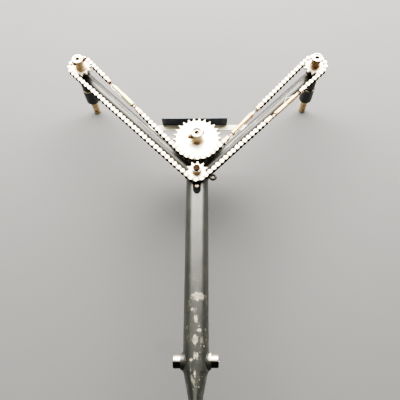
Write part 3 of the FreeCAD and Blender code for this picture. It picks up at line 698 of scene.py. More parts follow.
CHAIN = LinkSteel("chain_steel", (0.88, 0.84, 0.74), (0.64, 0.56, 0.40), metallic=0.65, roughness=0.36,
                  drift=110.0, dirt=(0.20, 0.15, 0.09), dirt_share=0.3)
# Painted shade: a near black copy of the chain steel for the lower plates and the rollers, which lie in
# shade.
CHAIN_SHADE = LinkSteel("chain_shade_paint", (0.022, 0.018, 0.014), (0.012, 0.010, 0.008), roughness=0.6,
                       specular=0.2, drift=140.0, dirt=(0.012, 0.012, 0.010), dirt_share=0.6)
WIRE = Finish("lock_wire", (0.94, 0.93, 0.90), (0.84, 0.82, 0.76), metallic=0.6, roughness=0.3, drift=300.0)
WELD = Enamel("painted_weld", (0.020, 0.023, 0.020), (0.032, 0.034, 0.029), roughness=0.5, chips=0.2,
              coat=0.3, scratches=0.1, dirt=(0.10, 0.09, 0.07), relief=0.00012)
SPROCKET_PLATE = Plated("sprocket_plating", (0.90, 0.89, 0.83), (0.80, 0.78, 0.70), metallic=0.7,
                        roughness=0.38, drift=60.0, dirt=(0.46, 0.38, 0.26), dirt_share=0.3)
HUB_GOLD = TurnedPost("hub_plating", (0.86, 0.70, 0.46), (0.66, 0.50, 0.30), metallic=0.35, roughness=0.40,
                      drift=90.0, dirt=(0.12, 0.075, 0.04), dirt_share=0.3, inside=0.0099)
SHAFT_STEEL = TurnedPost("shaft_steel", (0.78, 0.58, 0.34), (0.54, 0.38, 0.20), metallic=0.4, roughness=0.42,
                         drift=70.0, dirt=(0.12, 0.085, 0.05), dirt_share=0.5, inside=0.0052)
FORK_METAL = ForkMetal("fork_plating", (0.86, 0.78, 0.62), (0.66, 0.52, 0.34), metallic=0.6, roughness=0.36,
                       drift=120.0, dirt=(0.10, 0.05, 0.025), dirt_share=0.4)


class Paintshop:
    """Makes each finish once and puts it on pieces."""

    made: dict[str, bpy.types.Material] = {}

    @classmethod
    def material(cls, finish: Finish) -> bpy.types.Material:
        """The material of a finish.

        Args:
            finish: the finish.

        Returns:
            Its material, made at the first call.
        """
        if finish.name not in cls.made:
            cls.made[finish.name] = finish.build()
        return cls.made[finish.name]

    @classmethod
    def coat(cls, piece: bpy.types.Object, finish: Finish) -> None:
        """Give a whole piece one finish.

        Args:
            piece: the piece.
            finish: the finish.
        """
        if not piece.material_slots:
            piece.data.materials.append(None)
        for entry in piece.material_slots:
            entry.material = cls.material(finish)


# Modelling

class Bench:
    """The hand operations that pieces are made with."""

    @staticmethod
    def clear() -> None:
        """Leave nothing selected."""
        bpy.ops.object.select_all(action="DESELECT")

    @staticmethod
    def alone(piece: bpy.types.Object) -> None:
        """Select one piece alone and make it active.

        Args:
            piece: the piece.
        """
        Bench.clear()
        piece.select_set(True)
        bpy.context.view_layer.objects.active = piece

    @staticmethod
    def enter(name: str, data: bpy.types.ID) -> bpy.types.Object:
        """Put new data into the scene.

        Args:
            name: the object's name.
            data: its mesh, curve, camera or light.

        Returns:
            The object.
        """
        thing = bpy.data.objects.new(name, data)
        bpy.context.scene.collection.objects.link(thing)
        return thing

    @staticmethod
    def carve(piece: bpy.types.Object, cutter: bpy.types.Object) -> None:
        """Cut one piece out of another.

        Args:
            piece: the piece that is cut, which ends up selected alone.
            cutter: what is cut out of it, which is used up.
        """
        cut = piece.modifiers.new("cut", "BOOLEAN")
        cut.operation = "DIFFERENCE"
        cut.object = cutter
        Bench.alone(piece)
        bpy.ops.object.modifier_apply(modifier="cut")
        bpy.data.objects.remove(cutter)

    @staticmethod
    def outward() -> None:
        """Select everything and turn its faces outward, in edit mode."""
        bpy.ops.mesh.select_all(action="SELECT")
        bpy.ops.mesh.normals_make_consistent(inside=False)

    @staticmethod
    def take(name: str) -> bpy.types.Object:
        """Name the new primitive and put its place in its mesh.

        Args:
            name: the piece's name.

        Returns:
            The piece.
        """
        piece = bpy.context.object
        piece.name = name
        piece.data.name = name
        bpy.ops.object.transform_apply(location=True, rotation=True, scale=True)
        return piece

    @staticmethod
    def edit() -> None:
        """Go into edit mode with every vertex selected."""
        bpy.ops.object.mode_set(mode="EDIT")
        bpy.context.tool_settings.mesh_select_mode = (True, False, False)
        bpy.ops.mesh.select_all(action="SELECT")

    @staticmethod
    def leave(angle: float = 32.0) -> None:
        """Leave edit mode and smooth what lies flatter than an angle."""
        bpy.ops.object.mode_set(mode="OBJECT")
        bpy.ops.object.shade_smooth_by_angle(angle=math.radians(angle))

    @staticmethod
    def pick(piece: bpy.types.Object, test: Callable[[Vector], bool]) -> None:
        """Select the vertices whose place passes a test, in edit mode.

        Args:
            piece: the piece in edit mode.
            test: tells whether a place is wanted.
        """
        mesh = bmesh.from_edit_mesh(piece.data)
        for vertex in mesh.verts:
            vertex.select = test(vertex.co)
        mesh.select_flush(True)
        mesh.select_flush(False)
        bmesh.update_edit_mesh(piece.data)

    @staticmethod
    def turned(name: str, profile: Profile, sides: int = 32, angle: float = 32.0) -> bpy.types.Object:
        """A piece turned about Z, by extruding and resizing a circle.

        Args:
            name: the piece's name.
            profile: (height, radius) pairs from end to end. Both ends are closed.
            sides: the number of sides.
            angle: the smoothing angle in degrees.

        Returns:
            The piece.
        """
        Bench.clear()
        height, radius = profile[0]
        bpy.ops.mesh.primitive_circle_add(vertices=sides, radius=radius, location=(0, 0, height))
        piece = Bench.take(name)
        Bench.edit()
        for z, r in profile[1:]:
            bpy.ops.mesh.extrude_region_move(TRANSFORM_OT_translate={"value": (0, 0, z - height)})
            bpy.ops.transform.resize(value=(r / radius, r / radius, 1), center_override=(0, 0, z))
            height, radius = z, r
        bpy.ops.mesh.select_all(action="SELECT")
        bpy.ops.mesh.fill_holes(sides=0)
        Bench.outward()
        Bench.leave(angle)
        return piece

    @staticmethod
    def stand(piece: bpy.types.Object, origin: Vector, up: Vector, turn: float = 0.0) -> bpy.types.Object:
        """Set a piece that was made about Z at a place, with its Z along a direction.

        Args:
            piece: the piece.
            origin: where its origin goes.
            up: where its Z axis goes.
            turn: how far it is first turned about Z, in radians.

        Returns:
            The piece.
        """
        way = up.to_track_quat("Z", "Y").to_matrix().to_4x4()
        piece.matrix_world = Matrix.Translation(origin) @ way @ Matrix.Rotation(turn, 4, "Z")
        Bench.alone(piece)
        bpy.ops.object.transform_apply(location=True, rotation=True, scale=True)
        return piece

    @staticmethod
    def join(name: str, parts: Sequence[bpy.types.Object]) -> bpy.types.Object:
        """Join parts into one piece.

        Args:
            name: the piece's name.
            parts: the parts, which are used up.

        Returns:
            The piece.
        """
        Bench.clear()
        for part in parts:
            part.select_set(True)
        bpy.context.view_layer.objects.active = parts[0]
        bpy.ops.object.join()
        parts[0].name = name
        return parts[0]

    @staticmethod
    def fit(piece: bpy.types.Object, finish: Finish, body: Body, *stands_for: str) -> bpy.types.Object:
        """Finish a piece, set it on its body and let it stand for its solids.

        Args:
            piece: the piece.
            finish: its finish.
            body: the body it rides on.
            stands_for: the nodes it replaces.

        Returns:
            The piece.
        """
        Paintshop.coat(piece, finish)
        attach(piece, body.value)
        if stands_for:
            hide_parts(*stands_for)
        log.info("%s: %d faces on %s", piece.name, len(piece.data.polygons), body.value)
        return piece

    @staticmethod
    def smoothed(node: str, finish: Finish, body: Body, edge: float = 0.0004,
                 angle: float = 30.0) -> bpy.types.Object:
        """A copy of a solid with its triangles merged, its edges eased and its curves smooth.

        Args:
            node: the solid's name.
            finish: its finish.
            body: the body it rides on.
            edge: the width of the eased edges, in metres, or 0 for none.
            angle: the smoothing angle in degrees.

        Returns:
            The piece, which stands for the solid.
        """
        piece = Bench.enter(node + "_skin", frame["nodes"][node].data.copy())
        Bench.alone(piece)
        Bench.edit()
        bpy.ops.mesh.customdata_custom_splitnormals_clear()
        bpy.ops.mesh.remove_doubles(threshold=2e-6)
        bpy.ops.mesh.dissolve_limited(angle_limit=math.radians(0.6))
        bpy.ops.object.mode_set(mode="OBJECT")
        if edge:
            ease = piece.modifiers.new("ease", "BEVEL")
            ease.width = edge
            ease.segments = 2
            ease.limit_method = "ANGLE"
            ease.angle_limit = math.radians(angle + 8)
            bpy.ops.object.modifier_apply(modifier="ease")
        bpy.ops.object.shade_smooth_by_angle(angle=math.radians(angle))
        weighted = piece.modifiers.new("flat", "WEIGHTED_NORMAL")
        weighted.keep_sharp = True
        bpy.ops.object.modifier_apply(modifier="flat")
        return Bench.fit(piece, finish, body, node)


@dataclass
class WeldBead:
    """A rippled fillet of weld along a closed line."""

    name: str
    line: Callable[[float], Vector]
    radius: float = 0.0022
    ripples: int = 46
    steps: int = 138

    def build(self, body: Body, finish: Finish = WELD) -> bpy.types.Object:
        """Lay the bead.

        Args:
            body: the body it rides on.
            finish: its finish.

        Returns:
            The bead.
        """
        sides = 8
        Bench.clear()
        bpy.ops.mesh.primitive_torus_add(major_segments=self.steps, minor_segments=sides,
                                         major_radius=1.0, minor_radius=0.1)
        bead = Bench.take(self.name)
        step = 2 * math.pi / self.steps
        for vertex in bead.data.vertices:
            around = math.atan2(vertex.co.y, vertex.co.x)
            out, up = math.hypot(vertex.co.x, vertex.co.y) - 1.0, vertex.co.z
            here = self.line(around)
            ahead = (self.line(around + step) - self.line(around - step)).normalized()
            side = ahead.cross(Vector((0.31, 0.47, 0.82))).normalized()
            lift = ahead.cross(side)
            swell = 1.0 + 0.16 * math.sin(self.ripples * around)
            vertex.co = here + (side * out + lift * up) * (10.0 * self.radius * swell)
        bead.data.update()
        Bench.edit()
        Bench.outward()
        Bench.leave(70.0)
        return Bench.fit(bead, finish, body)


@dataclass
class Strand:
    """A thin round wire along a list of points."""

    name: str
    points: Sequence[Vector]
    radius: float

    def build(self) -> bpy.types.Object:
        """Draw the wire.

        Returns:
            The wire as a mesh.
        """
        curve = bpy.data.curves.new(self.name, "CURVE")
        curve.dimensions = "3D"
        curve.bevel_depth = self.radius
        curve.bevel_resolution = 1
        curve.use_fill_caps = True
        spline = curve.splines.new("POLY")
        spline.points.add(len(self.points) - 1)
        for target, point in zip(spline.points, self.points):
            target.co = (*point, 1.0)
        piece = Bench.enter(self.name, curve)
        Bench.alone(piece)
        bpy.ops.object.convert(target="MESH")
        bpy.ops.object.shade_smooth()
        return piece


# Column and fork

@dataclass
class ColumnFrame:
    """The column, its fork, its housings and what is welded or bolted to them."""

    arm_foot: Point = (0.0, IDLER_Y, 0.0)
    housing_r: float = 15.875 * MM
    centre_housing_r: float = 19.05 * MM
    boss_r: float = 15.5 * MM
    brace_y: float = 547.8 * MM
    plate_t: float = 2.5 * MM
    bolts_x: tuple[float, ...] = (-0.066, -0.007, 0.052)
    bolts_z: float = -5.0 * MM
    lug_place: tuple[float, float] = (36.4 * MM, IDLER_Y + 4.0 * MM)
    lug_major: float = 6.1 * MM
    lug_minor: float = 2.7 * MM
    screw_z: float = 28.4 * MM
    screw_drop: float = 33.0 * MM

    def arm_frame(self, side: int) -> tuple[Vector, Vector, Vector]:
        """An arm's foot, its direction and the level direction across it.

        Args:
            side: -1 for the left arm, 1 for the right one.

        Returns:
            The three vectors.
        """
        foot = Vector(self.arm_foot)
        way = (Vector((side * TIP_X, TIP_Y, 0)) - foot).normalized()
        return foot, way, Vector((-way.y, way.x, 0)) * side

    def arm_ring(self, across: Vector, angle: float) -> Vector:
        """From an arm's axis to its skin, at an angle round it."""
        return across * (ARM_R * math.cos(angle)) + Vector((0, 0, ARM_R * math.sin(angle)))

    def foot_line(self, side: int) -> Callable[[float], Vector]:
        """Where an arm meets the column.

        Args:
            side: -1 for the left arm, 1 for the right one.

        Returns:
            The line as a function of the angle round the arm.
        """
        foot, way, across = self.arm_frame(side)

        def line(angle: float) -> Vector:
            """The place on the line at an angle."""
            ring = self.arm_ring(across, angle)
            reach = math.sqrt(max(COLUMN_R ** 2 - ring.z ** 2, 0.0))
            run = (side * reach - ring.x) / way.x
            place = foot + ring + way * run
            top = IDLER_Y + 0.014
            if place.y > top:
                run = max((side * 0.0004 - ring.x) / way.x, (top - foot.y - ring.y) / way.y)
                place = foot + ring + way * run
            return place

        return line

    def tip_line(self, side: int) -> Callable[[float], Vector]:
        """Where an arm meets its bearing housing.

        Args:
            side: -1 for the left arm, 1 for the right one.

        Returns:
            The line as a function of the angle round the arm.
        """
        _, way, across = self.arm_frame(side)
        tip = Vector((side * TIP_X, TIP_Y, 0))

        def line(angle: float) -> Vector:
            """The place on the line at an angle."""
            ring = self.arm_ring(across, angle)
            level = Vector((ring.x, ring.y, 0)).length
            return tip + ring - way * math.sqrt(max(self.housing_r ** 2 - level ** 2, 0.0) + 1e-7)

        return line

    def boss_line(self, side: int) -> Callable[[float], Vector]:
        """Where the pivot boss comes out of the column.

        Args:
            side: -1 for the left end, 1 for the right one.

        Returns:
            The line as a function of the angle round the boss.
        """

        def line(angle: float) -> Vector:
            """The place on the line at an angle."""
            y, z = self.boss_r * math.cos(angle), self.boss_r * math.sin(angle)
            return Vector((side * math.sqrt(COLUMN_R ** 2 - z ** 2), y, z))

        return line

    def hex_bolt(self, name: str, flats: float, height: float) -> bpy.types.Object:
        """A six-sided head with its corners turned off, on a thin washer face.

        Args:
            name: the piece's name.
            flats: the size across the flats.
            height: the head's height.

        Returns:
            The head, standing on Z = 0.
        """
        corner, step = corner_radius(flats), height * 0.1
        profile = [(0, corner * 0.92), (step, corner * 0.92), (step, corner), (height * 0.82, corner),
                   (height, corner * 0.86), (height * 1.001, corner * 0.3)]
        return Bench.turned(name, profile, 6, 20.0)

    def plate_bolts(self) -> None:
        """Three hexagon bolts with washers that hold the plate to the brace."""
        parts = []
        forward = Vector((0, -1, 0))
        for number, x in enumerate(self.bolts_x):
            front = Vector((x, self.brace_y - 0.003, self.bolts_z))
            back = Vector((x, self.brace_y + self.plate_t, self.bolts_z))
            head = self.hex_bolt(f"plate_bolt_head_{number}", 0.0076, 0.0024)
            parts.append(Bench.stand(head, front, forward, 0.4 * number))
            nut = self.hex_bolt(f"plate_bolt_nut_{number}", 0.0076, 0.0036)
            parts.append(Bench.stand(nut, back, -forward, 0.7 * number))
            shank = Bench.turned(f"plate_bolt_shank_{number}", [(-0.0058, 0.0025), (0.0039, 0.0025)], 16)
            parts.append(Bench.stand(shank, back, -forward))
        Bench.fit(Bench.join("plate_bolt_set", parts), PALE_BOLT, Body.COLUMN, "plate_bolts")

    def screw(self) -> None:
        """The round headed screw of the strap, with a slot across it."""
        profile = [(0, 0.0048), (0.0008, 0.0050), (0.0018, 0.0048), (0.0027, 0.0038), (0.0032, 0.0022)]
        head = Bench.turned("strap_screw", profile, 24, 60.0)
        Bench.clear()
        bpy.ops.mesh.primitive_cube_add(size=1.0, location=(0, 0, 0.0034))
        cutter = bpy.context.object
        cutter.scale = (0.012, 0.0011, 0.0016)
        cutter.rotation_euler.z = 0.5
        Bench.carve(head, cutter)
        Bench.stand(head, Vector((0, IDLER_Y - self.screw_drop, self.screw_z)), UP)
        Bench.fit(head, PALE_BOLT, Body.COLUMN, "bracket_screw")

    def ring_lug(self) -> None:
        """The small eye under the right arm: a forged ring on a short shank."""
        x, y = self.lug_place
        Bench.clear()
        bpy.ops.mesh.primitive_torus_add(major_segments=40, minor_segments=14, major_radius=self.lug_major,
                                         minor_radius=self.lug_minor, location=(x, y, 0))
        ring = Bench.take("lug_ring")
        Bench.edit()
        bpy.ops.transform.resize(value=(1, 1, 0.95), center_override=(x, y, 0))
        Bench.leave(60.0)
        foot, _, across = self.arm_frame(1)
        reach = (Vector((x, y, 0)) - foot).dot(across)
        end = abs(reach) - ARM_R + 0.0006
        shank = Bench.turned("lug_shank", [(0.0052, 0.0022), (0.0066, 0.0019), (end, 0.0030)], 20)
        Bench.stand(shank, Vector((x, y, 0)), -across if reach > 0 else across)
        Bench.fit(Bench.join("ring_eye", [ring, shank]), RING_STEEL, Body.COLUMN, "ring_lug")

    def build(self) -> None:
        """Dress the tubes, lay the welds and add the fasteners."""
        Bench.smoothed("column_tube", COLUMN_PAINT, Body.COLUMN, 0.0)
        for side, name in ((-1, "left"), (1, "right")):
            Bench.smoothed(name + "_arm", ENAMEL, Body.COLUMN, 0.0)
            Bench.smoothed(name + "_bearing_housing", SLEEVE_PAINT, Body.COLUMN, 0.0006)
            WeldBead(name + "_arm_foot_weld", self.foot_line(side)).build(Body.COLUMN)
            WeldBead(name + "_arm_tip_weld", self.tip_line(side)).build(Body.COLUMN)
            WeldBead(name + "_boss_weld", self.boss_line(side), 0.0020, 40, 120).build(Body.COLUMN)
        self.ring_lug()
        for node, paint, edge in (
                ("centre_bearing_housing", ENAMEL, 0.0005), ("arm_gusset", ENAMEL, 0.0005),
                ("elevator_lever", ENAMEL, 0.0005), ("pivot_boss", BOSS_PAINT, 0.0005),
                ("cross_brace", CREAM, 0.0004), ("idler_bracket", STRAP_PAINT, 0.0004),
                ("upright_plate", SLATE, 0.0004)):
            Bench.smoothed(node, paint, Body.COLUMN, edge)
        self.plate_bolts()
        self.screw()
        for node in ("left_bushings", "right_bushings", "centre_bushings", "lever_bushing"):
            Bench.smoothed(node, BRONZE, Body.COLUMN, 0.0)


# Drives

@dataclass
class WheelDrive:
    """A shaft with its sprocket, hub, cross bolt, washer and retaining ring."""

    side: str
    body: Body
    x: float
    y: float
    rim: float
    bolt_turn: float
    hub_r: float
    sunk: float
    tones: tuple[Colour, Colour] = (HUB_GOLD.base, HUB_GOLD.shade)
    hole_turn: float | None = None
    hole_z: float = -138.0 * MM
    bolt_up: float = 18.5 * MM
    bolt_r: float = 3.175 * MM
    bolt_flats: float = 11.1 * MM
    hole_r: float = 2.1 * MM
    hub_top: float = CHAIN_Z + SPROCKET_HALF + 29.0 * MM

    def sink(self, shaft: bpy.types.Object) -> None:
        """Let the shaft's top end a little below the hub's.

        Args:
            shaft: the shaft.
        """
        Bench.alone(shaft)
        Bench.edit()
        Bench.pick(shaft, lambda place: place.z > self.hub_top - 0.002)
        bpy.ops.transform.translate(value=(0, 0, -0.0008 - self.sunk))
        bpy.ops.object.mode_set(mode="OBJECT")

    def drill(self, shaft: bpy.types.Object, turn: float) -> None:
        """Drill the small cross hole near the shaft's lower end.

        Args:
            shaft: the shaft.
            turn: the hole's direction in radians.
        """
        Bench.clear()
        bpy.ops.mesh.primitive_cylinder_add(vertices=20, radius=self.hole_r, depth=0.04)
        way = Vector((math.cos(turn), math.sin(turn), 0))
        bit = Bench.stand(bpy.context.object, Vector((self.x, self.y, self.hole_z)), way)
        Bench.carve(shaft, bit)
        bpy.ops.object.shade_smooth_by_angle(angle=math.radians(30))

    def bolt(self) -> None:
        """The bolt through the hub: a head, a washer, a hexagon nut and a threaded tail."""
        middle = Vector((self.x, self.y, CHAIN_Z + SPROCKET_HALF + self.bolt_up))
        way = Vector((math.cos(self.bolt_turn), math.sin(self.bolt_turn), 0))
        corner = corner_radius(self.bolt_flats)
        head = [(0, corner * 0.9), (0.0003, corner), (0.0032, corner), (0.0040, corner * 0.86),
                (0.00401, corner * 0.3)]
        nut = [(0.0010, corner * 0.9), (0.0014, corner), (0.0056, corner), (0.0064, corner * 0.86),
               (0.00641, corner * 0.55)]
        threads = [(-0.022, self.bolt_r)]
        for k in range(10):
            at = 0.0004 + k * 0.001
            threads += [(at, self.bolt_r), (at + 0.0005, self.bolt_r * 0.86)]
        threads.append((0.0105, self.bolt_r * 0.8))
        out = middle + way * self.hub_r
        washer = [(-0.0002, 0.0070), (0.0011, 0.0070), (0.0012, 0.0050)]
        parts = [
            Bench.stand(Bench.turned("washer", washer, 28), out, way),
            Bench.stand(Bench.turned("head", head, 6, 20.0), middle - way * self.hub_r, -way, 0.2),
            Bench.stand(Bench.turned("nut", nut, 6, 20.0), out, way, 0.5),
            Bench.stand(Bench.turned("shank", threads, 20, 25.0), out, way),
        ]
        piece = Bench.join(self.side + "_hub_bolt", parts)
        Bench.fit(piece, RUSTY_BOLT, self.body, self.side + "_cross_bolt")

    def build(self) -> None:
        """Dress the drive's pieces."""
        centre, (base, shade) = (self.x, self.y), self.tones
        plate = replace(SPROCKET_PLATE, name=self.side + "_plating", centre=centre, rim=self.rim)
        Bench.smoothed(self.side + "_sprocket", plate, self.body, 0.0005)
        gold = replace(HUB_GOLD, name=self.side + "_hub_plating", base=base, shade=shade, centre=centre,
                       top=self.hub_top)
        steel = replace(SHAFT_STEEL, name=self.side + "_shaft_steel", centre=centre,
                        top=self.hub_top - self.sunk)
        Bench.smoothed(self.side + "_hub", gold, self.body, 0.0007)
        shaft = Bench.smoothed(self.side + "_shaft", steel, self.body, 0.0006)
        self.sink(shaft)
        if self.hole_turn is not None:
            self.drill(shaft, self.hole_turn)
        Bench.smoothed(self.side + "_thrust_washer", BRIGHT, self.body, 0.0)
        Bench.smoothed(self.side + "_retaining_ring", DARK_BOLT, self.body, 0.0002)
        self.bolt()


@dataclass
class Idler:
    """The idler sprocket with its hub, and the bolt it turns on."""

    top: float = 50.85 * MM
    head_flats: float = 14.3 * MM
    bolt_r: float = 4.75 * MM

    def bolt(self) -> None:
        """The dark hexagon bolt on its pale washer."""
        z = self.top + 0.0003
        edge = [(0, 0.0098), (0.0009, 0.0098), (0.0012, 0.0095), (0.0012, 0.004)]
        washer = Bench.turned("washer", edge, 32)
        Bench.stand(washer, Vector((0, IDLER_Y, z)), UP)
        Bench.fit(Bench.join("idler_washer", [washer]), ZINC, Body.COLUMN)
        corner = corner_radius(self.head_flats)
        head = [(0, corner * 0.9), (0.0004, corner), (0.0036, corner), (0.0046, corner * 0.87),
                (0.00461, corner * 0.45), (0.0040, corner * 0.40)]
        cap = Bench.stand(Bench.turned("cap", head, 6, 20.0), Vector((0, IDLER_Y, z + 0.0012)), UP, 0.3)
        shank = Bench.turned("shank", [(0.0175, self.bolt_r), (z + 0.002, self.bolt_r)], 24)
        Bench.stand(shank, Vector((0, IDLER_Y, 0)), UP)
        Bench.fit(Bench.join("idler_cap_bolt", [cap, shank]), DARK_BOLT, Body.COLUMN, "idler_bolt")

    def build(self) -> None:
        """Dress the idler."""
        plate = replace(SPROCKET_PLATE, name="idler_plating", centre=(0.0, IDLER_Y), hub=0.010, rim=0.021)
        Bench.smoothed("idler_sprocket", plate, Body.IDLER, 0.0005)
        Bench.smoothed("idler_hub", plate, Body.IDLER, 0.0005)
        self.bolt()


@dataclass
class PivotTube:
    """The bright cross tube that the whole column tilts on."""

    half: float = 44.5 * MM
    stud_place: tuple[float, float] = (-0.0022, 0.0080)

    def stud(self) -> None:
        """The small pointed stud in the right-hand end of the tube."""
        profile = [(-0.0005, 0.0016), (0.0008, 0.0016), (0.0017, 0.0011), (0.0023, 0.0004)]
        y, z = self.stud_place
        stud = Bench.turned("pivot_stud", profile, 16, 45.0)
        Bench.stand(stud, Vector((self.half, y, z)), Vector((1, 0, 0)))
        Bench.fit(stud, BRIGHT, Body.PIVOT)

    def build(self) -> None:
        """Dress the tube and add its stud."""
        Bench.smoothed("pivot_tube", PIVOT_STEEL, Body.PIVOT, 0.0004)
        self.stud()


# Chain and turnbuckles

@dataclass
class Stretch:
    """A run or an arc of the chain's path. Lengths are in pitches."""

    length: float
    start: Vector
    end: Vector
    centre: Vector | None = None
    radius: float = 0.0
    first: float = 0.0
    turn: int = 1
    teeth: int = 0

    def at(self, distance: float) -> Vector:
        """The place at a distance from the stretch's start.

        Args:
            distance: in pitches.

        Returns:
            The place.
        """
        if self.centre is None:
            return self.start.lerp(self.end, distance / self.length)
        angle = self.first + self.turn * distance * 2 * math.pi / self.teeth
        return self.centre + Vector((math.cos(angle), math.sin(angle))) * self.radius


@dataclass
class ChainPath:
    """The closed path of the pins: round the left tip, the idler, the right tip and under the centre."""

    stops: tuple[tuple[float, float, int, Turn], ...] = (
        (-TIP_X, TIP_Y, 13, Turn.LEFT),
        (0.0, IDLER_Y, 11, Turn.LEFT),
        (TIP_X, TIP_Y, 13, Turn.LEFT),
        (0.0, CENTRE_Y, 26, Turn.RIGHT),
    )
    stretches: list[Stretch] = field(default_factory=list)

    @staticmethod
    def pitch_radius(teeth: int) -> float:
        """The radius of the circle that the pins lie on."""
        return PITCH / (2 * math.sin(math.pi / teeth))

    def tangent(self, here: int, there: int) -> tuple[Vector, Vector]:
        """The straight run between two stops.

        Args:
            here: the first stop's number.
            there: the second stop's number.

        Returns:
            Where the run starts and where it ends.
        """
        ax, ay, teeth_a, turn_a = self.stops[here % 4]
        bx, by, teeth_b, turn_b = self.stops[there % 4]
        a, b = Vector((ax, ay)), Vector((bx, by))
        ra, rb = turn_a.value * self.pitch_radius(teeth_a), turn_b.value * self.pitch_radius(teeth_b)
        gap = b - a
        normal = math.atan2(gap.y, gap.x) - math.acos((ra - rb) / gap.length)
        out = Vector((math.cos(normal), math.sin(normal)))
        return a + out * ra, b + out * rb

    def __post_init__(self) -> None:
        """Work out the runs and the arcs."""
        for k in range(4):
            start, end = self.tangent(k, k + 1)
            self.stretches.append(Stretch((end - start).length / PITCH, start, end))
            x, y, teeth, turn = self.stops[(k + 1) % 4]
            centre = Vector((x, y))
            leave, _ = self.tangent(k + 1, k + 2)
            first = math.atan2(end.y - y, end.x - x)
            last = math.atan2(leave.y - y, leave.x - x)
            swept = (turn.value * (last - first)) % (2 * math.pi)
            self.stretches.append(Stretch(swept * teeth / (2 * math.pi), end, leave, centre,
                                          self.pitch_radius(teeth), first, turn.value, teeth))

    @property
    def loop(self) -> float:
        """The whole path in pitches."""
        return sum(stretch.length for stretch in self.stretches)

    def start_of(self, number: int) -> float:
        """How far along the path a stretch begins."""
        return sum(stretch.length for stretch in self.stretches[:number])

    def at(self, distance: float) -> Vector:
        """The place at a distance along the path.

        Args:
            distance: in pitches, from the left tip's lower run.

        Returns:
            The place.
        """
        left = distance % self.loop
        for stretch in self.stretches:
            if left <= stretch.length:
                break
            left -= stretch.length
        return stretch.at(left)


@dataclass
class ChainLayout:
    """Where the turnbuckles and the lengths of chain lie along the path."""

    path: ChainPath
    near: float = 142.0 * MM
    upper_right_start: float = 33.0 * MM
    lower_right_gap: float = 65.0 * MM
    upper_left_gap: float = 72.0 * MM
    span: float = 0.0
    chains: dict[str, tuple[float, int]] = field(default_factory=dict)
    turnbuckles: dict[str, float] = field(default_factory=dict)

    @staticmethod
    def odd(value: float) -> int:
        """The odd whole number nearest to a value."""
        return 2 * round((value - 1) / 2) + 1

    def __post_init__(self) -> None:
        """Share the path out."""
        path, loop = self.path, self.path.loop
        links = self.odd(loop - 3 * self.near / PITCH)
        self.span = (loop - links) / 3
        upper_right = path.start_of(5) - self.upper_right_start / PITCH - self.span
        right = self.odd(upper_right - (path.start_of(3) - self.lower_right_gap / PITCH))
        lower_right = upper_right - right - self.span
        left = self.odd(lower_right + loop - (path.start_of(7) - self.upper_left_gap / PITCH))
        upper_left = lower_right + loop - left - self.span
        self.turnbuckles = {"upper_left": upper_left, "upper_right": upper_right, "lower_right": lower_right}
        self.chains = {
            "left_chain": (upper_left + self.span, left),
            "right_chain": (lower_right + self.span, right),
            "centre_chain": (upper_right + self.span, links - left - right),
        }


class NodeBoard:
    """Adds nodes to a geometry tree and does arithmetic on its fields."""

    def __init__(self, name: str) -> None:
        """Start a tree that takes a geometry and gives one.

        Args:
            name: the tree's name.
        """
        self.tree = bpy.data.node_groups.new(name, "GeometryNodeTree")
        self.tree.interface.new_socket("Geometry", in_out="INPUT", socket_type="NodeSocketGeometry")
        self.tree.interface.new_socket("Geometry", in_out="OUTPUT", socket_type="NodeSocketGeometry")
        self.entry = self.tree.nodes.new("NodeGroupInput").outputs[0]
        self.exit = self.tree.nodes.new("NodeGroupOutput").inputs[0]

    def add(self, kind: str, settings: dict[str, Any] | None = None,
            values: dict[str | int, Any] | None = None) -> bpy.types.Node:
        """Add a node.

        Args:
            kind: the node's type.
            settings: its properties, which are set before its inputs.
            values: its inputs.

        Returns:
            The node.
        """
        node = self.tree.nodes.new(kind)
        for name, value in (settings or {}).items():
            setattr(node, name, value)
        for name, value in (values or {}).items():
            entry = node.inputs[name]
            if isinstance(value, bpy.types.NodeSocket):
                self.tree.links.new(value, entry)
            else:
                entry.default_value = value
        return node

    def math(self, operation: str, *values: Any) -> bpy.types.NodeSocket:
        """The result of a Math node."""
        return self.add("ShaderNodeMath", {"operation": operation}, dict(enumerate(values))).outputs[0]

    def vector(self, operation: str, values: dict[str | int, Any],
               result: str = "Vector") -> bpy.types.NodeSocket:
        """The result of a Vector Math node."""
        return self.add("ShaderNodeVectorMath", {"operation": operation}, values).outputs[result]


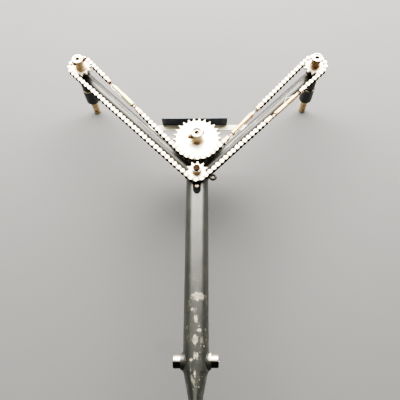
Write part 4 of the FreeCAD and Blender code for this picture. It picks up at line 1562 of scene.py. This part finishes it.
@dataclass
class RollerChain:
    """A length of roller chain whose rigid links follow the path as its turnbuckle moves."""

    name: str
    first: float
    links: int
    path: ChainPath
    led_by: Body
    roller_r: float = 3.885 * MM
    roller_half: float = 3.175 * MM
    plate_half_h: float = 4.95 * MM
    plate_t: float = 1.27 * MM
    waist: float = 0.56
    cheek_t: float = 2.0 * MM
    gap: float = 0.06 * MM
    samples: int = 1500

    def plate(self, name: str, low: float, thickness: float) -> bpy.types.Object:
        """A link plate with two round ends and a narrow waist.

        Args:
            name: the part's name.
            low: the height of its lower face.
            thickness: its thickness.

        Returns:
            The plate.
        """
        Bench.clear()
        bpy.ops.mesh.primitive_circle_add(vertices=20, radius=self.plate_half_h, fill_type="NGON",
                                          location=(0, 0, low))
        plate = Bench.take(name)
        for vertex in plate.data.vertices:
            x, y = vertex.co.x, vertex.co.y
            if abs(x) < 1e-5:
                vertex.co.y = y * self.waist
                continue
            opened = math.atan2(y, abs(x)) * 115 / 72
            vertex.co.x = math.copysign(PITCH / 2 + self.plate_half_h * math.cos(opened), x)
            vertex.co.y = self.plate_half_h * math.sin(opened)
        Bench.edit()
        bpy.ops.mesh.extrude_region_move(TRANSFORM_OT_translate={"value": (0, 0, thickness)})
        Bench.outward()
        Bench.leave(35.0)
        return plate

    def link(self, inner: bool) -> bpy.types.Object:
        """One link about its middle, along X.

        Args:
            inner: whether it is an inner link, with rollers, or an outer one, with riveted pins.

        Returns:
            The link.
        """
        low = self.roller_half if inner else self.roller_half + self.plate_t + self.gap
        thick = self.plate_t if inner else self.cheek_t
        parts = [self.plate("plate", low, thick), self.plate("plate", -low - thick, thick)]
        Paintshop.coat(parts[0], CHAIN)
        # The lower plate is painted shade.
        Paintshop.coat(parts[1], CHAIN_SHADE)
        for side in (-1, 1):
            if inner:
                profile = [(-self.roller_half, self.roller_r), (self.roller_half, self.roller_r)]
                round_part = Bench.turned("roller", profile, 10, 40.0)
                # The rollers are painted shade.
                Paintshop.coat(round_part, CHAIN_SHADE)
            else:
                top = low + thick + 0.0003
                profile = [(-top, 0.0010), (-top + 0.0004, 0.0017), (top - 0.0004, 0.0017), (top, 0.0010)]
                round_part = Bench.turned("pin", profile, 8, 40.0)
                Paintshop.coat(round_part, CHAIN)
            parts.append(Bench.stand(round_part, Vector((side * PITCH / 2, 0, 0)), UP))
        return Bench.join("link", parts)

    def pattern(self) -> bpy.types.Object:
        """One mesh that holds the path's sample points and one link of each kind.

        Returns:
            The piece, before its links are laid out.
        """
        inner, outer = self.link(True), self.link(False)
        kinds = []
        for number, link in ((1, inner), (2, outer)):
            kinds += [number] * len(link.data.vertices)
        both = Bench.join(self.name + "_links", [inner, outer])
        mesh = both.data
        count = len(mesh.vertices)
        places = [tuple(vertex.co) for vertex in mesh.vertices]
        mesh.vertices.add(self.samples)
        for k in range(self.samples):
            here = self.path.at(self.path.loop * k / self.samples)
            mesh.vertices[count + k].co = (here.x, here.y, CHAIN_Z)
        kind = mesh.attributes.new("kind", "INT", "POINT")
        kind.data.foreach_set("value", kinds + [0] * self.samples)
        place = mesh.attributes.new("place", "FLOAT_VECTOR", "POINT")
        place.data.foreach_set("vector", [v for p in places for v in p] + [0.0] * (3 * self.samples))
        mesh.update()
        return both

    def travel(self, board: NodeBoard, forward: Vector) -> bpy.types.NodeSocket:
        """How far the leading turnbuckle has moved along its run, in pitches.

        Args:
            board: the geometry tree.
            forward: the way the path runs at the turnbuckle.

        Returns:
            The travel, positive along the path.
        """
        lead = frame["bodies"][self.led_by.value]
        moved = board.add("GeometryNodeObjectInfo", {"transform_space": "ORIGINAL"}, {"Object": lead})
        place = next(s for s in moved.outputs if s.name == "Location")
        along = board.vector("DOT_PRODUCT", {0: place, 1: (*forward, 0.0)}, "Value")
        return board.math("DIVIDE", along, PITCH)

    def place_at(self, board: NodeBoard, track: bpy.types.NodeSocket,
                 distance: bpy.types.NodeSocket) -> bpy.types.NodeSocket:
        """The place of a pin.

        Args:
            board: the geometry tree.
            track: the geometry of the path's sample points.
            distance: how far along the path, in pitches.

        Returns:
            The place.
        """
        scaled = board.math("MULTIPLY", distance, self.samples / self.path.loop)
        wrapped = board.math("FLOORED_MODULO", scaled, float(self.samples))
        whole = board.math("FLOOR", wrapped)
        ends = []
        for step in (0.0, 1.0):
            index = board.math("FLOORED_MODULO", board.math("ADD", whole, step), float(self.samples))
            position = board.add("GeometryNodeInputPosition").outputs[0]
            sample = board.add("GeometryNodeSampleIndex", {"data_type": "FLOAT_VECTOR", "domain": "POINT"})
            board.tree.links.new(track, sample.inputs["Geometry"])
            board.tree.links.new(position, sample.inputs["Value"])
            board.tree.links.new(index, sample.inputs["Index"])
            ends.append(sample.outputs[0])
        blend = board.add("ShaderNodeMix", {"data_type": "VECTOR"})
        sockets = {s.identifier: s for s in blend.inputs}
        board.tree.links.new(board.math("FRACT", wrapped), sockets["Factor_Float"])
        board.tree.links.new(ends[0], sockets["A_Vector"])
        board.tree.links.new(ends[1], sockets["B_Vector"])
        return next(s for s in blend.outputs if s.identifier == "Result_Vector")

    def only(self, board: NodeBoard, kind: int) -> bpy.types.NodeSocket:
        """The part of the piece's own mesh that is of one kind.

        Args:
            board: the geometry tree.
            kind: 0 for the path, 1 for the inner link, 2 for the outer one.

        Returns:
            The geometry.
        """
        named = board.add("GeometryNodeInputNamedAttribute", {"data_type": "INT"}, {"Name": "kind"})
        same = board.add("FunctionNodeCompare", {"data_type": "INT", "operation": "EQUAL"})
        board.tree.links.new(named.outputs[0], next(s for s in same.inputs if s.identifier == "A_INT"))
        next(s for s in same.inputs if s.identifier == "B_INT").default_value = kind
        return board.add("GeometryNodeSeparateGeometry", {"domain": "POINT"},
                         {"Geometry": board.entry, "Selection": same.outputs[0]}).outputs[0]

    def laid(self, board: NodeBoard, inner: bool, travel: bpy.types.NodeSocket) -> bpy.types.NodeSocket:
        """The links of one kind, laid along the path.

        Args:
            board: the geometry tree.
            inner: whether they are the inner links.
            travel: how far the chain has moved.

        Returns:
            The geometry.
        """
        count = (self.links + 1) // 2 if inner else self.links // 2
        track = self.only(board, 0)
        number = board.math("MULTIPLY", board.add("GeometryNodeInputIndex").outputs[0], 2.0)
        start = board.math("ADD", board.math("ADD", number, self.first + (0.0 if inner else 1.0)), travel)
        near = self.place_at(board, track, start)
        far = self.place_at(board, track, board.math("ADD", start, 1.0))
        middle = board.vector("SCALE", {0: board.vector("ADD", {0: near, 1: far}), "Scale": 0.5})
        gap = board.vector("SUBTRACT", {0: far, 1: near})
        split = board.add("ShaderNodeSeparateXYZ", None, {0: gap}).outputs
        heading = board.math("ARCTAN2", split[1], split[0])
        euler = board.add("ShaderNodeCombineXYZ", None, {2: heading}).outputs[0]
        turn = board.add("FunctionNodeEulerToRotation", None, {0: euler}).outputs[0]
        points = board.add("GeometryNodePoints", None, {"Count": count, "Position": middle}).outputs[0]
        pattern = self.only(board, 1 if inner else 2)
        placed = board.add("GeometryNodeInstanceOnPoints", None,
                           {"Points": points, "Instance": pattern, "Rotation": turn})
        shift = board.add("ShaderNodeCombineXYZ", None, {0: board.math("MULTIPLY", number, PITCH)}).outputs[0]
        stored = board.add("GeometryNodeStoreNamedAttribute",
                           {"data_type": "FLOAT_VECTOR", "domain": "INSTANCE"},
                           {"Geometry": placed.outputs[0], "Name": "shift", "Value": shift})
        return board.add("GeometryNodeRealizeInstances", None, {0: stored.outputs[0]}).outputs[0]

    def build(self, forward: Vector) -> None:
        """Make the chain.

        Args:
            forward: the way the path runs at the leading turnbuckle.
        """
        piece = self.pattern()
        board = NodeBoard(self.name + "_layout")
        travel = self.travel(board, forward)
        joined = board.add("GeometryNodeJoinGeometry")
        for inner in (False, True):
            board.tree.links.new(self.laid(board, inner, travel), joined.inputs[0])
        board.tree.links.new(joined.outputs[0], board.exit)
        layout = piece.modifiers.new("layout", "NODES")
        layout.node_group = board.tree
        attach(piece, Body.COLUMN.value)
        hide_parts(self.name)
        log.info("%s: %d links", piece.name, self.links)


@dataclass
class Turnbuckle:
    """A barrel between two forks with clevis pins, and its lock wires.

    A wire is an end, an angle round the barrel, and the height and place of its bow.
    """

    name: str
    body: Body
    middle: Vector
    heading: float
    barrel_r: float = 5.8 * MM
    wire_r: float = 0.55 * MM
    wire_from: float = 0.5 * MM
    wire_run: float = 49.5 * MM
    wire_steps: int = 56
    neck_from: float = 28.0 * MM
    neck_run: float = 12.0 * MM
    neck_r: float = 3.6 * MM
    bow_width: float = 7.5 * MM
    metal: Finish = BARREL_BRASS
    wires: tuple[tuple[int, float, float, float], ...] = ((1, 0.5, 0.001, 0.034), (-1, 2.2, 0.001, 0.034))

    def wire(self) -> None:
        """The lock wires, from the fork's necks along the barrel to the hole in its middle."""
        way = Vector((math.cos(self.heading), math.sin(self.heading), 0))
        side = Vector((-way.y, way.x, 0))
        parts = []
        for number, (end, angle, bow, bow_at) in enumerate(self.wires):
            out = side * math.cos(angle) + UP * math.sin(angle)
            points = []
            for k in range(self.wire_steps + 1):
                run = self.wire_from + k / self.wire_steps * self.wire_run
                share = min(max((run - self.neck_from) / self.neck_run, 0.0), 1.0)
                radius = (self.barrel_r + self.wire_r) * (1 - share) + self.neck_r * share
                radius += bow * math.exp(-((run - bow_at) / self.bow_width) ** 2)
                points.append(self.middle + way * (end * run) + out * radius)
            start = self.middle + out * (self.barrel_r - 0.001)
            parts.append(Strand(f"{self.name}_strand_{number}", [start, *points], self.wire_r).build())
        Bench.fit(Bench.join(self.name + "_lock_wire", parts), WIRE, self.body)

    def build(self) -> None:
        """Dress the turnbuckle."""
        Bench.smoothed(self.name + "_barrel", self.metal, self.body, 0.0)
        plating = replace(FORK_METAL, name=self.name + "_fork_plating",
                          middle=(self.middle.x, self.middle.y), heading=self.heading)
        Bench.smoothed(self.name + "_forks", plating, self.body, 0.0004)
        Bench.smoothed(self.name + "_pins", PALE_BOLT, self.body, 0.0002)
        self.wire()


# Studio

@dataclass
class Studio:
    """The floor, the lights and the camera."""

    camera_place: Point = (0.03443, -0.08548, 0.94126)
    tilt: float = 0.439
    roll: float = 0.001
    yaw: float = -0.009
    focal_px: float = 454.81
    image_px: float = 400.0
    principal: tuple[float, float] = (214.03, 196.02)
    floor: Colour = (0.165, 0.170, 0.178)
    sky: Colour = (0.9, 0.93, 1.0)
    sky_strength: float = 0.10

    def camera(self) -> None:
        """The photograph's camera."""
        data = bpy.data.cameras.new("camera")
        camera = Bench.enter("camera", data)
        data.sensor_width = 36.0
        data.lens = self.focal_px / self.image_px * data.sensor_width
        data.shift_x = (self.image_px / 2 - self.principal[0]) / self.image_px
        data.shift_y = (self.principal[1] - self.image_px / 2) / self.image_px
        turn = Matrix.Rotation(self.yaw, 4, "Z") @ Matrix.Rotation(self.tilt, 4, "X")
        turn = turn @ Matrix.Rotation(self.roll, 4, "Z")
        camera.matrix_world = Matrix.Translation(self.camera_place) @ turn
        bpy.context.scene.camera = camera

    def light(self, name: str, place: Point, target: Point, size: tuple[float, float], power: float,
              colour: Colour) -> None:
        """A soft box.

        Args:
            name: its name.
            place: where it hangs.
            target: what it points at.
            size: its two sides.
            power: its power in watts.
            colour: its colour.
        """
        data = bpy.data.lights.new(name, "AREA")
        data.shape = "RECTANGLE"
        data.size, data.size_y = size
        data.energy = power
        data.color = colour
        lamp = Bench.enter(name, data)
        lamp.location = place
        lamp.rotation_mode = "QUATERNION"
        lamp.rotation_quaternion = (Vector(target) - Vector(place)).to_track_quat("-Z", "Y")

    def ground(self) -> None:
        """A plain pale floor."""
        Bench.clear()
        bpy.ops.mesh.primitive_plane_add(size=8.0, location=(0, 0.3, FLOOR_Z))
        ground = Bench.take("ground")
        shade, dirt = (tuple(share * c for c in self.floor) for share in (0.97, 0.95))
        paper = Finish("ground_paper", self.floor, shade, roughness=0.9, spread=0.05,
                       drift=2.0, grain=300.0, dirt=dirt, dirt_share=0.0)
        Paintshop.coat(ground, paper)

    def build(self) -> None:
        """Set up the studio."""
        self.ground()
        self.camera()
        self.light("key", (0.0, 1.90, 1.35), (0.0, 0.55, 0.0), (4.6, 1.9), 360.0, (1.0, 0.95, 0.86))
        self.light("top", (0.0, 0.75, 1.55), (0.0, 0.45, 0.0), (0.7, 0.5), 2.5, (1.0, 0.96, 0.88))
        world = bpy.data.worlds.new("studio")
        world.use_nodes = True
        background = world.node_tree.nodes["Background"].inputs
        background["Color"].default_value = (*self.sky, 1.0)
        background["Strength"].default_value = self.sky_strength
        bpy.context.scene.world = world
        bpy.context.scene.view_settings.look = "AgX - High Contrast"


def main() -> None:
    """Build the column, its drives, its chain and the studio, in that order."""
    logging.basicConfig(level=logging.INFO, format="%(name)s %(message)s")
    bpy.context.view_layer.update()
    ColumnFrame().build()
    PivotTube().build()
    WheelDrive("centre", Body.CENTRE, 0.0, CENTRE_Y, 0.050, math.radians(204), 12.4 * MM, 3.2 * MM).build()
    WheelDrive("left", Body.LEFT, -TIP_X, TIP_Y, 0.025, math.radians(30), 11.2 * MM, 1.0 * MM).build()
    WheelDrive("right", Body.RIGHT, TIP_X, TIP_Y, 0.025, math.radians(48), 11.2 * MM, 1.4 * MM,
               ((0.46, 0.31, 0.19), (0.30, 0.19, 0.11)), math.radians(-135.5)).build()
    Idler().build()
    path = ChainPath()
    layout = ChainLayout(path)
    lead = {"left_chain": Body.UPPER_LEFT, "right_chain": Body.LOWER_RIGHT, "centre_chain": Body.UPPER_RIGHT}
    ways = {}
    for name, start in layout.turnbuckles.items():
        body = Body(name + "_turnbuckle")
        near, far = path.at(start), path.at(start + layout.span)
        ways[body] = (far - near).normalized()
        middle = (near + far) / 2
        heading = math.atan2(ways[body].y, ways[body].x)
        buckle = Turnbuckle(name, body, Vector((middle.x, middle.y, CHAIN_Z)), heading)
        if body is Body.UPPER_LEFT:
            buckle.metal = BARREL_CREAM
            buckle.wires = ((1, 0.25, 0.0030, 0.036), (-1, 2.4, 0.0030, 0.040))
        elif body is Body.LOWER_RIGHT:
            buckle.wires = ((1, 0.6, 0.0050, 0.012), (-1, 2.2, 0.001, 0.034))
        buckle.build()
    for name, (first, links) in layout.chains.items():
        RollerChain(name, first, links, path, lead[name]).build(ways[lead[name]])
    Studio().build()


if __name__ == "__main__":
    main()
